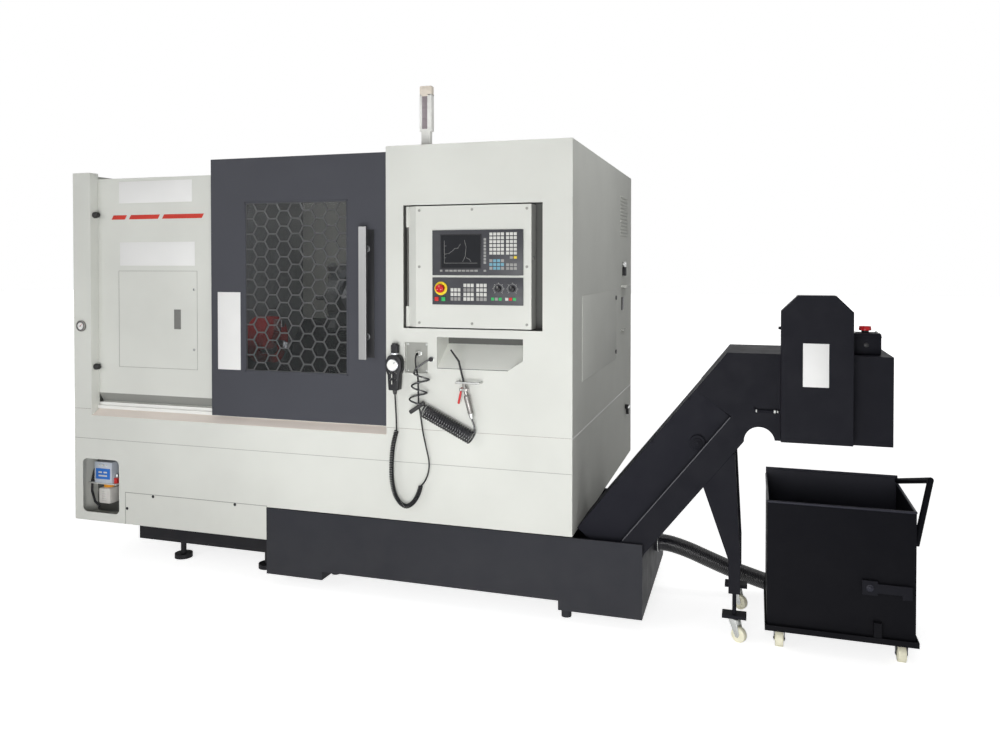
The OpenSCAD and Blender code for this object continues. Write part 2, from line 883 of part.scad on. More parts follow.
module headstock_cover() {
  x1 = door_x0 + column_w / 2;
  color(shade_beige) difference() {
    union() {
      profile_x([[recess_d, cover_h], [recess_d, ledge_z], [sill_y - sheet_t, ledge_z - ledge_h],
        [sill_y - sheet_t, sill_back], [sill_y, sill_back], [sill_y, ledge_z - ledge_h],
        [recess_d + sheet_t, ledge_z], [recess_d + sheet_t, cover_h]], x_column, x1);
      block(x_left + sheet_t, x1, recess_d + sheet_t, machine_d - sheet_t, cover_h - sheet_t, cover_h);
      block(x_column, x1, recess_d + over, recess_d + sheet_t + over, cover_h - sheet_t, cover_h);
    }
    block(hatch_x0 - hatch_seam, hatch_x0 + hatch_w + hatch_seam, recess_d - over,
      recess_d + sheet_t + over,
      hatch_z - hatch_seam, hatch_z + hatch_h + hatch_seam);
  }
}

module hatch_door() {
  pull_w = hatch_w / 14;
  pull_h = hatch_h / 5.3;
  x1 = hatch_x0 + hatch_w;
  color(shade_beige) difference() {
    block(hatch_x0, x1, recess_d, recess_d + sheet_t, hatch_z, hatch_z + hatch_h);
    block(x1 - pull_w * 4, x1 - pull_w * 3, recess_d - over, recess_d + sheet_t / 2, hatch_z + pull_h * 2.2,
      hatch_z + pull_h * 3.2);
  }
}

module sill_cover() {
  color(shade_beige) {
    block(x_left, 0, 0, sheet_t, band_z, sill_z);
    block(x_left, x_column, 0, sheet_t, sill_z - over, joint_z);
    block(x_cab, 0, 0, sheet_t, sill_z - over, joint_z);
    profile_x([[0, sill_z], [recess_d, sill_back], [sill_y, sill_back], [sill_y, sill_back - sheet_t],
      [recess_d, sill_back - sheet_t], [0, sill_z - sheet_t]], x_column, x_cab);
  }
}

module lower_cover() {
  color(shade_beige) {
    difference() {
      union() {
        block(x_left, 0, 0, sheet_t, kick_top, band_z);
        block(x_left, kick_x0 - kick_seam, 0, sheet_t, skirt_z, kick_top + over);
        block(x_tank0 + kick_seam, 0, 0, sheet_t, apron_z, kick_top + over);
      }
      round_block(lube_x0, -over, sheet_t + over, lube_z, lube_w, lube_h, lube_r);
    }
    block(-sheet_t, 0, sheet_t, machine_d - sheet_t, apron_z, joint_z);
    block(-sheet_t, 0, over, sheet_t + over, apron_z, band_z);
    block(x_left, x_left + sheet_t, sheet_t, machine_d - sheet_t, skirt_z, joint_z);
    block(x_left, x_left + sheet_t, over, sheet_t + over, skirt_z, band_z);
    block(x_left + over, bay_x1, bay_y, bay_y + sheet_t, skirt_z, lube_z + lube_h + lube_r);
    block(x_left + over, bay_x1, over, bay_y + sheet_t, skirt_z, skirt_z + sheet_t);
  }
}

module kick_plate() {
  color(shade_beige) {
    block(kick_x0, x_tank0, 0, sheet_t, skirt_z, kick_top - kick_seam);
    block(kick_x0, x_tank0, sheet_t - over, base_y0, skirt_z + sheet_t, skirt_z + sheet_t * 2);
  }
}

module tray_outline(grow) {
  polygon([[tray_x0 - grow, tray_z - grow], [tray_x1 - tray_run, tray_z - grow],
    [tray_x1 + grow, tray_z + tray_rise - grow],
    [tray_x1 + grow, tray_z + tray_h + grow], [tray_x0 - grow, tray_z + tray_h + grow]]);
}

module through_front(y0, y1) {
  translate([0, y1, 0]) rotate([90, 0, 0]) linear_extrude(y1 - y0) children();
}

module cabinet_front() {
  color(shade_beige) {
    difference() {
      block(x_cab, 0, 0, sheet_t, joint_z, cabinet_h);
      block(opening_x0, opening_x1, -over, sheet_t + over, opening_z, opening_z + opening_h);
      through_front(-over, sheet_t + over) tray_outline(0);
      block(socket_x0, socket_x1, -over, sheet_t + over, socket_z, socket_z + socket_h);
    }
    difference() {
      block(opening_x0 - sheet_t, opening_x1 + sheet_t, sheet_t - over, panel_recess, opening_z - sheet_t,
        opening_z + opening_h + sheet_t);
      block(opening_x0, opening_x1, 0, panel_recess - sheet_t, opening_z, opening_z + opening_h);
    }
    difference() {
      block(socket_x0 - sheet_t, socket_x1 + sheet_t, sheet_t - over, socket_y + sheet_t,
        socket_z - sheet_t,
        socket_z + socket_h + sheet_t);
      block(socket_x0, socket_x1, 0, socket_y, socket_z, socket_z + socket_h);
    }
    rod_y(plug_r, cable_exit.x, cable_exit.y, socket_y + over, cable_exit.z);
    rod_y(hose_r * 2.4, fitting_x, -hose_r * 3.4, over, fitting_z);
    rod_z(pivot_r, pivot_x, pivot_y, opening_z - over, opening_z + opening_h + over);
  }
}

module tray_room(lift) {
  profile_x([[0, tray_z + lift], [tray_d, tray_z + tray_climb + lift], [tray_d, tray_z + tray_h + tray_d],
    [0, tray_z + tray_h + tray_d]], tray_x0 - tray_d, tray_x1 + tray_d);
}

module tray_pocket() {
  color(shade_dark) difference() {
    intersection() {
      through_front(sheet_t, tray_d) tray_outline(sheet_t);
      tray_room(-sheet_t);
    }
    intersection() {
      through_front(0, tray_d - sheet_t) tray_outline(0);
      tray_room(0);
    }
  }
}

module right_side_panel() {
  color(shade_beige) block(-sheet_t, 0, sheet_t, machine_d - sheet_t, joint_z, cabinet_h);
}

module roof() {
  step_x = door_x0 + column_w / 2;
  back = machine_d - sheet_t;
  color(shade_beige) {
    block(x_cab, -sheet_t, sheet_t, back, cabinet_h - sheet_t, cabinet_h);
    block(step_x, x_cab - gap, recess_d, back, door_top - sheet_t, door_top);
    block(x_cab - gap - over, x_cab + sheet_t, cab_y + gap, back, door_top - sheet_t, cabinet_h - over);
    block(step_x, step_x + sheet_t, recess_d, back, cover_h - sheet_t, door_top - over);
    block(step_x, x_cab - gap, recess_d, recess_d + sheet_t, door_top - lip_drop * 3, door_top - over);
  }
}

module rear_cover() {
  color(shade_beige) {
    block(x_left, 0, machine_d - sheet_t, machine_d, apron_z, cover_h);
    block(door_x0 + column_w / 2, x_cab + over, machine_d - sheet_t, machine_d, cover_h - over, door_top);
    block(x_cab, 0, machine_d - sheet_t, machine_d, cover_h - over, cabinet_h);
  }
}

module splash_walls() {
  x0 = head_x1 + sheet_t;
  low = slant_yz(bed_u0, -bed_drop);
  top = slant_yz(bed_u1, -bed_drop);
  color(shade_beige) {
    difference() {
      profile_x([[sill_y, sill_back - lip_drop], [low.x, sill_back - lip_drop], low, top,
        [top.x, cover_h - sheet_t], [recess_d + sheet_t, cover_h - sheet_t], [recess_d + sheet_t, ledge_z],
        [sill_y, ledge_z - ledge_h]], x0, x0 + sheet_t);
      rod_x(nose_r + sheet_t, x0 - over, x0 + sheet_t + over, spindle_y, spindle_z);
    }
    block(x_cab, x_cab + sheet_t, sheet_t, cab_y, joint_z, cabinet_h - sheet_t);
    block(x_cab, -sheet_t, cab_y - sheet_t, cab_y, joint_z, cabinet_h - sheet_t);
  }
}

module door_rails() {
  rail_y = door_y + door_t + gap;
  x0 = x_column + gap;
  color(shade_steel) {
    block(x0, x_cab - gap, rail_y, sill_y - sheet_t, sill_back, sill_back + lip_drop / 2);
    block(x0, x_cab - gap, rail_y + rail_step, sill_y - sheet_t, sill_back + lip_drop / 2 - over,
      sill_back + lip_drop);
  }
}

// Sliding door

module window_hole(grow, y0, y1) {
  block(window_x0 - grow, window_x1 + grow, y0, y1, window_z - grow, window_z + window_h + grow);
}

module door_panel() {
  y1 = door_y + door_t;
  color(shade_dark) difference() {
    block(door_x0, door_x1, door_y, y1, door_z, door_z + door_h);
    block(door_x0 + sheet_t, door_x1 - sheet_t, door_y + sheet_t, y1 + over, door_z + sheet_t,
      door_z + door_h - sheet_t);
    window_hole(0, 0, y1);
  }
}

module window_glass() {
  y0 = door_y + sheet_t + guard_t;
  color(shade_glass) window_hole(lip_drop / 2, y0, y0 + glass_t);
}

module hex_cells() {
  pitch_x = hex_side * 1.5;
  pitch_z = hex_side * sqrt(3);
  cols = ceil(window_w / pitch_x / 2);
  rows = ceil(window_h / pitch_z / 2);
  for (i = [-cols:cols], j = [-rows:rows])
    translate([i * pitch_x, (j + (abs(i) % 2) / 2) * pitch_z]) circle(r = hex_side - hex_bar / sqrt(3),
      $fn = 6);
}

module window_guard() {
  y0 = door_y + sheet_t;
  rim = lip_drop / 2;
  color(shade_black) translate([(window_x0 + window_x1) / 2, y0 + guard_t,
    window_z + window_h / 2]) rotate([90, 0, 0])
    linear_extrude(guard_t) difference() {
      square([window_w + 2 * rim, window_h + 2 * rim], center = true);
      intersection() {
        square([window_w - hex_bar, window_h - hex_bar], center = true);
        hex_cells();
      }
    }
}

module door_handle() {
  x1 = door_x1 - handle_side;
  x0 = x1 - handle_w;
  mid = (x0 + x1) / 2;
  post = handle_l / 6;
  color(shade_steel) {
    block(x0, x1, door_y - handle_gap - handle_t, door_y - handle_gap, handle_z, handle_z + handle_l);
    for (z = [handle_z + post, handle_z + handle_l - post])
      rod_y(handle_t, mid, door_y - handle_gap - over, door_y, z);
  }
}

// Operator panel

module panel_box() {
  y1 = panel_y + panel_t;
  color(shade_beige) difference() {
    union() {
      translate([0, 0, panel_z]) linear_extrude(panel_h)
        polygon([[panel_x0, panel_y + panel_bevel_d], [panel_x0 + panel_bevel, panel_y],
          [panel_x1, panel_y], [panel_x1, y1],
          [panel_x0, y1]]);
      for (z = [panel_z, panel_z + panel_h - panel_bevel * 2])
        rod_z(pivot_r + pivot_t, pivot_x, pivot_y, z, z + panel_bevel * 2);
    }
    rod_z(pivot_r + run_gap, pivot_x, pivot_y, panel_z - over, panel_z + panel_h + over);
  }
}

module key_row(x, z, w, h, n, m) {
  cell_w = w / n;
  cell_h = h / m;
  for (i = [0:n - 1], j = [0:m - 1])
    block(x + (i + 0.08) * cell_w, x + (i + 0.92) * cell_w, unit_y - gap * 4, unit_y + over,
      z + (j + 0.1) * cell_h, z + (j + 0.9) * cell_h);
}

module operator_unit() {
  x1 = unit_x0 + unit_w;
  color(shade_black) {
    difference() {
      block(unit_x0, x1, unit_y, panel_y, unit_z, unit_z + unit_h);
      block(unit_x0 + unit_w * 0.09, unit_x0 + unit_w * 0.54, unit_y - over, unit_y + gap * 4,
        unit_z + unit_h * 0.14,
        unit_z + unit_h * 0.87);
    }
    key_row(unit_x0 + unit_w * 0.63, unit_z + unit_h * 0.44, unit_w * 0.165, unit_h * 0.46, 4, 6);
    key_row(unit_x0 + unit_w * 0.81, unit_z + unit_h * 0.44, unit_w * 0.13, unit_h * 0.46, 3, 6);
    key_row(unit_x0 + unit_w * 0.63, unit_z + unit_h * 0.08, unit_w * 0.165, unit_h * 0.28, 4, 3);
    key_row(unit_x0 + unit_w * 0.81, unit_z + unit_h * 0.08, unit_w * 0.13, unit_h * 0.28, 3, 2);
    key_row(unit_x0 + unit_w * 0.09, unit_z + unit_h * 0.03, unit_w * 0.45, unit_h * 0.08, 9, 1);
    difference() {
      union() {
        block(unit_x0, x1, unit_y, panel_y, keys_z, keys_z + keys_h);
        rod_y(ring_r, estop_x, unit_y - ring_t, unit_y + over, knob_z);
      }
      rod_y(estop_r / 2 + run_gap, estop_x, unit_y - ring_t - over, panel_y + over, knob_z);
    }
    for (c = wide_key_shares)
      key_row(unit_x0 + unit_w * c, keys_z + keys_h * 0.1, unit_w * 0.125, keys_h * 0.78, 3, 4);
    for (c = small_key_shares)
      key_row(unit_x0 + unit_w * c, keys_z + keys_h * 0.1, unit_w * 0.125, keys_h * 0.18, 3, 1);
  }
}

module estop_button() {
  color(shade_red) {
    rod_y(estop_r, estop_x, unit_y - estop_t - estop_travel, unit_y - estop_travel - ring_t, knob_z);
    rod_y(estop_r / 2, estop_x, unit_y - estop_travel - ring_t - over, unit_y + over, knob_z);
  }
}

module knob(share) {
  x = unit_x0 + unit_w * share;
  color(shade_black) {
    rod_y(knob_r, x, unit_y - knob_t, unit_y - gap, knob_z);
    block(x - knob_r / 5, x + knob_r / 5, unit_y - knob_t * 1.3, unit_y - knob_t + over,
      knob_z - knob_r * 0.8,
      knob_z + knob_r * 0.8);
  }
}

module feed_knob() { knob(0.735); }

module speed_knob() { knob(0.885); }

// Coolant tank and conveyor

module coolant_tank() {
  end_top = knee_z + (tank_out - tank_wall - knee_x) * tan(incline) - casing_t / cos(incline) - gap;
  color(shade_dark) {
    difference() {
      block(x_tank0, tank_out, 0, tank_d, tank_z, tank_top);
      block(x_tank0 + tank_wall, tank_out - tank_wall, tank_wall, tank_d - tank_wall,
        tank_z + notch_h + tank_wall, tank_top + over);
      block(tank_out - tank_wall - over, tank_out + over, tank_wall, tank_d + over, end_top,
        tank_top + over);
      block(notch_x0, notch_x1, -over, tank_d + over, tank_z - over, tank_z + notch_h);
    }
    for (c = tank_feet) rod_z(tank_foot_r, c.x, c.y, 0, tank_z + over);
  }
}

module casing_outline() {
  difference() {
    polygon([conv(-casing_l, -casing_t), conv(knee_s, -casing_t), [arc_x1, head_z], [headbox_x, head_z],
      [headbox_x, head_z + headbox_h], [knee_x - sheet_t * 4, head_z + headbox_h], conv(seam_s, cover_t),
        conv(0, 0),
      conv(-casing_l, 0)]);
    translate([arc_x, head_z - sheet_t * 2]) circle(r = arc_r);
  }
}

module casing_hollow() {
  roof_z = head_z + headbox_h - sheet_t;
  arc_top = head_z + arc_r + sheet_t;
  polygon([conv(-casing_l - over, -casing_t + sheet_t), conv(knee_s - sheet_t * 4, -casing_t + sheet_t),
    [arc_x - arc_r - sheet_t, arc_top], [arc_x1 + sheet_t, arc_top], [arc_x1 + sheet_t, head_z + sheet_t],
    [outlet_x0, head_z + sheet_t], [outlet_x0, head_z - over], [headbox_x - sheet_t, head_z - over],
      [headbox_x - sheet_t, roof_z],
    [knee_x, roof_z], conv(seam_s + sheet_t, cover_t - sheet_t), conv(sheet_t, -sheet_t),
      conv(-casing_l - over, -sheet_t)]);
}

module conveyor_casing() {
  color(shade_dark) difference() {
    through_front(conv_y, conv_y + conv_w) casing_outline();
    through_front(conv_y + sheet_t, conv_y + conv_w - sheet_t) casing_hollow();
  }
}

module conveyor_cover() {
  t = sheet_t;
  color(shade_dark) difference() {
    side_plate([conv(-slope_cover_l, 0), conv(0, 0), conv(seam_s, cover_t), conv(-slope_cover_l, cover_t)],
      conv_y + setback, conv_y + conv_w - setback);
    side_plate([conv(-slope_cover_l + t, -over), conv(-t, -over), conv(seam_s - t, cover_t - t),
      conv(-slope_cover_l + t, cover_t - t)], conv_y + setback + t, conv_y + conv_w - setback - t);
    side_plate([conv(-slope_cover_l - over, -over), conv(over, -over), conv(over, 0),
      conv(-slope_cover_l - over, 0)],
      conv_y, conv_y + conv_w);
  }
}

function guard_outline(t) = [[chain_x0 + t, chain_z + t], [chain_x0 + chain_w - t, chain_z + t],
  [chain_x0 + chain_w - t, chain_z + chain_h - chain_cut],
    [chain_x0 + chain_w - chain_cut, chain_z + chain_h - t],
  [chain_x0 + chain_cut, chain_z + chain_h - t], [chain_x0 + t, chain_z + chain_h - chain_cut]];

module chain_guard() {
  y0 = conv_y - chain_d;
  color(shade_dark) difference() {
    side_plate(guard_outline(0), y0, conv_y);
    side_plate(guard_outline(sheet_t), y0 + sheet_t, conv_y + over);
  }
}

module junction_box() {
  x0 = headbox_x - box_land;
  z0 = head_z + headbox_h;
  y0 = conv_y + box_y;
  color(shade_black) {
    block(x0, x0 + box_l, y0, y0 + box_d, z0, z0 + box_h);
    rod_z(stop_r, x0 + box_l / 2, y0 + box_d / 2, z0 + box_h - over, z0 + box_h + stop_h);
  }
}

module conveyor_legs() {
  x0 = leg_x1 - leg_w;
  a = conv(leg_s0, -casing_t);
  b = conv(leg_s1, -casing_t);
  color(shade_dark) for (y = leg_y) {
    side_plate([a, [x0, leg_z + leg_bend], [x0, leg_z], [leg_x1, leg_z], [leg_x1, leg_z + leg_bend],
      [leg_x1 - leg_run, b.y], b],
      y, y + leg_t);
    rod_z(jack_r, x0 + leg_w / 2, y + leg_t / 2, jack_plate_z, leg_z + over);
    block(x0 + leg_w / 2 - jack_plate_l / 2, x0 + leg_w / 2 + jack_plate_l / 2,
      y + leg_t / 2 - jack_plate_w / 2,
      y + leg_t / 2 + jack_plate_w / 2, jack_plate_z, jack_plate_z + jack_plate_h);
  }
}

// Caster with its wheel under a plate at height top, its axle turned by a from Y
module caster(x, y, top, r, lean, a) {
  side = wheel_w / 2 + fork_t;
  translate([x, y, 0]) rotate([0, 0, a]) {
    color(shade_steel) {
      rod_z(r * 0.7, 0, 0, top - fork_t * 3, top);
      for (s = [-side, side - fork_t])
        side_plate([[-r * 0.6, top - fork_t * 2], [r * 0.6, top - fork_t * 2], [lean + axle_r * 2, r],
          [lean, r - axle_r * 2],
          [lean - axle_r * 2, r]], s, s + fork_t);
      rod_y(axle_r, lean, -side - fork_t, side + fork_t, r);
    }
    color(shade_white) rod_y(r, lean, -wheel_w / 2, wheel_w / 2, r);
  }
}

module conveyor_casters() {
  x0 = leg_x1 - leg_w / 2;
  for (y = leg_y) caster(x0, y + leg_t / 2, jack_plate_z, conv_wheel_r, caster_reach / 2, -caster_turn);
}

// Chip cart

module cart_bin() {
  x1 = cart_x + cart_l;
  y1 = cart_y + cart_d;
  floor_z = cart_z + cart_lip;
  ax = cart_x + cart_side_in;
  bx = x1 - cart_side_in;
  front = cart_y + cart_in;
  low = [x1 - cart_side_in, front + grip_r, grip_low];
  knee = [x1 + grip_out, grip_y, grip_z];
  high = [x1 - cart_side_in, y1 - grip_r * 2, cart_back_h - grip_r * 1.5];
  color(shade_black) {
    difference() {
      block(cart_x, x1, cart_y, y1, cart_z, floor_z);
      block(cart_x + cart_wall, x1 - cart_wall, cart_y + cart_wall, y1 - cart_wall, cart_z + cart_wall,
        floor_z + over);
    }
    difference() {
      block(ax, bx, front, y1 - cart_wall, cart_z + cart_wall - over, cart_back_h);
      block(ax + cart_wall, bx - cart_wall, front + cart_wall, y1 - cart_wall * 2, floor_z,
        cart_back_h + over);
      block(cart_x, x1, cart_y, y1 - cart_wall * 2, cart_h, cart_back_h + over);
    }
    block(ax, bx, y1 - cart_wall * 6, y1 - cart_wall, cart_back_h - cart_wall, cart_back_h);
    bar(low, knee, grip_r);
    translate(knee) sphere(r = grip_r + gap);
    bar(knee, high, grip_r);
    block(cart_x + lever_x + lever_block / 4, cart_x + lever_x + lever_block * 0.75,
      cart_y + cart_wall - over, front + over,
      cart_z + cart_wall - over, floor_z + lever_block);
    rod_y(lever_pin_r, cart_x + lever_x, cart_y + cart_wall, front + over, lever_z);
  }
}

module cart_lever() {
  x0 = cart_x + lever_x;
  y0 = cart_y + lever_t;
  color(shade_dark) difference() {
    union() {
      block(x0 - lever_block / 2, x0 + lever_block / 2, y0, y0 + lever_t, lever_z - lever_block / 2,
        lever_z + lever_block / 2);
      block(x0, x0 + lever_l, y0, y0 + lever_t, lever_z - lever_h / 2, lever_z + lever_h / 2);
      block(x0 + lever_l - lever_h, x0 + lever_l, y0, y0 + lever_t, lever_z + lever_h / 2 - lever_end,
        lever_z);
    }
    rod_y(lever_pin_r + run_gap, x0, y0 - over, y0 + lever_t + over, lever_z);
  }
}

module cart_casters() {
  for (x = [cart_x + cart_wheel_in, cart_x + cart_l - cart_wheel_in],
    y = [cart_y + cart_wheel_y, cart_y + cart_d - cart_wheel_y]) caster(x, y, cart_z, cart_wheel_r, 0, 90);
}

// Fittings on the covers

module signal_lamp() {
  lens_z = cabinet_h + lamp_base_h;
  stem = lamp_w / 4;
  color(shade_white) {
    block(lamp_x - stem, lamp_x + stem, lamp_y, lamp_y + lamp_t, cabinet_h, lens_z + over);
    round_block(lamp_x - lamp_w / 2, lamp_y, lamp_y + lamp_t, lens_z, lamp_w, lamp_h - lamp_base_h,
      lamp_w / 12);
  }
}

module pressure_gauge() {
  color(shade_steel) difference() {
    rod_y(gauge_r, gauge_x, -gauge_t, 0, gauge_z);
    rod_y(gauge_r * 0.88, gauge_x, -gauge_t - over, -gauge_t * 0.85, gauge_z);
  }
}

module lube_unit() {
  mid = pump_x + pump_w / 2;
  jar_top = pump_z - shelf_t - cap_h;
  color(shade_white) {
    block(pump_x, pump_x + pump_w, pump_y, pump_y + pump_d, pump_z, pump_z + pump_h);
    block(x_left + sheet_t, pump_x + pump_w + shelf_t * 4, pump_y - shelf_t, pump_y + pump_d,
      pump_z - shelf_t, pump_z + over);
    rod_z(cap_r, mid, pump_y + pump_d / 2, jar_top - over, pump_z - shelf_t + over);
    translate([mid - jar_w / 2, pump_y + pump_d / 2 - jar_w / 2, jar_top - jar_h])
      linear_extrude(jar_h) round_rect(jar_w, jar_w, jar_r);
  }
}

module pendant_body() {
  color(shade_black) {
    round_block(pendant_x, pendant_y, pendant_y + pendant_t, pendant_z, pendant_w, pendant_h,
      pendant_round);
    rod_z(grab_r, pendant_x + pendant_w / 2, pendant_y + pendant_t / 2, pendant_z + pendant_h - over,
      pendant_z + pendant_h + grab_h);
    block(pendant_x + pendant_w / 4, pendant_x + pendant_w * 0.75, pendant_y + pendant_t - over, 0,
      pendant_z + pendant_h / 2,
      pendant_z + pendant_h * 0.85);
    for (i = [1, 2])
      rod_y(pick_r, pendant_x + pendant_w / 2, pendant_y - pick_t, pendant_y + over,
        dial_z - dial_r - pick_r * (3 * i - 1));
    rod_z(cable_r * 2, pendant_x + pendant_w / 2, pendant_y + pendant_t / 2, pendant_z - grab_h / 2,
      pendant_z + over);
  }
}

module pendant_dial() {
  color(shade_white) rod_y(dial_r, pendant_x + pendant_w / 2, pendant_y - dial_t - gap, pendant_y - gap,
    dial_z);
}

module gun_hook() {
  color(shade_steel) {
    bar([hook_x, 0, hook_z], [hook_x, -hook_out, hook_z], hook_r);
    bar([hook_x + hook_l, 0, hook_z], [hook_x + hook_l, -hook_out, hook_z], hook_r);
    bar([hook_x, -hook_out, hook_z], [hook_x + hook_l, -hook_out, hook_z], hook_r);
    for (x = [hook_x, hook_x + hook_l]) translate([x, -hook_out, hook_z]) sphere(r = hook_r + gap);
  }
}

module air_gun() {
  color(shade_steel) {
    bar(gun_low, gun_mid, gun_r);
    translate(gun_mid) sphere(r = gun_r + gap);
    bar(gun_mid, gun_top, gun_neck);
    bar(gun_top, gun_bend, nozzle_r);
    translate(gun_bend) sphere(r = nozzle_r + gap);
    bar(gun_bend, gun_tip, nozzle_r);
    rod_y(pin_r, trigger_pin.x, trigger_pin.y - trigger_w, trigger_pin.y + trigger_w, trigger_pin.z);
    for (y = [trigger_pin.y - trigger_w, trigger_pin.y + trigger_w / 2 + gap])
      block(trigger_pin.x - pin_r * 2, gun_mid.x, y, y + trigger_w / 2 - gap, trigger_pin.z - pin_r * 2,
        trigger_pin.z + pin_r * 2);
  }
}

module gun_trigger() {
  color(shade_red) translate(trigger_pin) rotate([0, trigger_tilt, 0]) difference() {
    block(-trigger_t / 2, trigger_t / 2, -trigger_w / 2, trigger_w / 2, -trigger_l, trigger_t);
    rod_y(pin_r + run_gap, 0, -trigger_w, trigger_w, 0);
  }
}

// Cables and hoses

module pendant_cord() {
  color(shade_black) {
    tube(cable_a, cable_r, 8);
    tube(cable_b, curl_r, 10);
    tube(cable_c, cable_r, 8);
  }
}

module air_hose() {
  color(shade_black) {
    tube(hose_a, hose_r, 8);
    tube(coil_a, coil_r, 12);
    tube(hose_b, hose_r, 8);
  }
}

module drain_hose() {
  last = drain_pts[len(drain_pts) - 1];
  color(shade_black) {
    tube(drain_pts, drain_r, 12);
    rod_x(drain_r + cuff_t, last.x - cuff_l / 2, last.x + cuff_l / 2, last.y, drain_r + cuff_t);
  }
}

// Assembly

module placed() {
  translate([-x_mid, -y_mid, 0]) children();
}

placed() base_casting();
placed() levelling_feet();
placed() headstock();
placed() spindle_bearings();
placed() spindle_motor();
placed() drive_belt();
placed() left_end_cover();
placed() headstock_cover();
placed() sill_cover();
placed() lower_cover();
placed() kick_plate();
placed() cabinet_front();
placed() tray_pocket();
placed() right_side_panel();
placed() roof();
placed() rear_cover();
placed() splash_walls();
placed() door_rails();
placed() coolant_tank();
placed() conveyor_casing();
placed() conveyor_cover();
placed() chain_guard();
placed() junction_box();
placed() conveyor_legs();
placed() conveyor_casters();
placed() signal_lamp();
placed() pressure_gauge();
placed() lube_unit();
placed() pendant_body();
placed() air_gun();
placed() gun_hook();
placed() pendant_cord();
placed() air_hose();
placed() drain_hose();
placed() door_panel();
placed() window_glass();
placed() window_guard();
placed() door_handle();
placed() hatch_door();
placed() spindle();
placed() chuck_body();
placed() jaw_1();
placed() jaw_2();
placed() jaw_3();
placed() motor_pulley();
placed() carriage();
placed() cross_slide();
placed() turret_disc();
placed() tailstock();
placed() quill();
placed() panel_box();
placed() operator_unit();
placed() estop_button();
placed() feed_knob();
placed() speed_knob();
placed() pendant_dial();
placed() gun_trigger();
placed() cart_bin();
placed() cart_lever();
placed() cart_casters();
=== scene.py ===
"""Looks of the slant-bed turning lathe: finishes, trim, controls, cords and the stage."""

import json
import math

import bmesh
import bpy
from bpy.props import FloatProperty, FloatVectorProperty, IntProperty, PointerProperty
from mathutils import Matrix, Vector


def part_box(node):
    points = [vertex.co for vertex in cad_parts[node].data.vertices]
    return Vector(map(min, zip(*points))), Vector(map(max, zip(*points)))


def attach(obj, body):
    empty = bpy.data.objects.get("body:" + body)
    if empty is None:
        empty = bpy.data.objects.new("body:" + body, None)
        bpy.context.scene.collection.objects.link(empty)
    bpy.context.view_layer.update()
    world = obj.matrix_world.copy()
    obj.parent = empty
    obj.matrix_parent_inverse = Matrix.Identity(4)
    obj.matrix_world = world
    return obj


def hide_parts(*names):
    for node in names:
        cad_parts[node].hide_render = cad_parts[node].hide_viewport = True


bl_info = {
    "name": "Turning Lathe Looks",
    "version": (1, 0, 0),
    "blender": (4, 5, 0),
    "location": "View3D > Sidebar > Lathe",
    "description": "Dresses the packed turning lathe with finishes, trim, cords and a stage",
    "category": "Object",
}

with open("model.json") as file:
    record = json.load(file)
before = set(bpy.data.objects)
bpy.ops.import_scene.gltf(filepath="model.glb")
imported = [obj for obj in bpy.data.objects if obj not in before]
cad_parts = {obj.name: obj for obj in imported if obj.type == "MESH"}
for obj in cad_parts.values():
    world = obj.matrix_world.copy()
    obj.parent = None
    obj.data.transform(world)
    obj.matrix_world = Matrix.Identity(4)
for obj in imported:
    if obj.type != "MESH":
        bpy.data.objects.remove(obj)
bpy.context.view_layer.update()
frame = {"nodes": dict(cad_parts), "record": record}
NODES = frame["nodes"]
RECORD = frame["record"]
BODY_OF = {n: b for b, nodes in RECORD["behaviour"]["bodies"].items() for n in nodes}
MM = 0.001

# Sizes below are in millimetres from the cabinet's lower right front corner: X to the right, Y to the back, Z up
CORNER = Vector((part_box("right_side_panel")[1][0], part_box("lower_cover")[0][1], 0.0))
TO_FRAME = Matrix.Translation(CORNER) @ Matrix.Scale(MM, 4)
FINISH = {}

# Way out of the machine's front
FRONT = (0, -1, 0)
# Edges that turn by more than this, in radians, are rounded: on built pieces and on the CAD's sheets
PIECE_TURN = 0.6
SHEET_TURN = math.radians(25.0)
# Edges that turn by more than this, in degrees, are shown sharp: on built pieces and on the CAD's sheets
PIECE_SHARP = 35.0
SHEET_SHARP = 40.0


def at(x, y, z):
    """Place in the frame, in metres, of a point in millimetres from the cabinet's corner."""
    return CORNER + Vector((x, y, z)) * MM


def from_corner(place):
    """Millimetres from the cabinet's corner to a place in the frame."""
    return (Vector(place) - CORNER) / MM


# Finishes


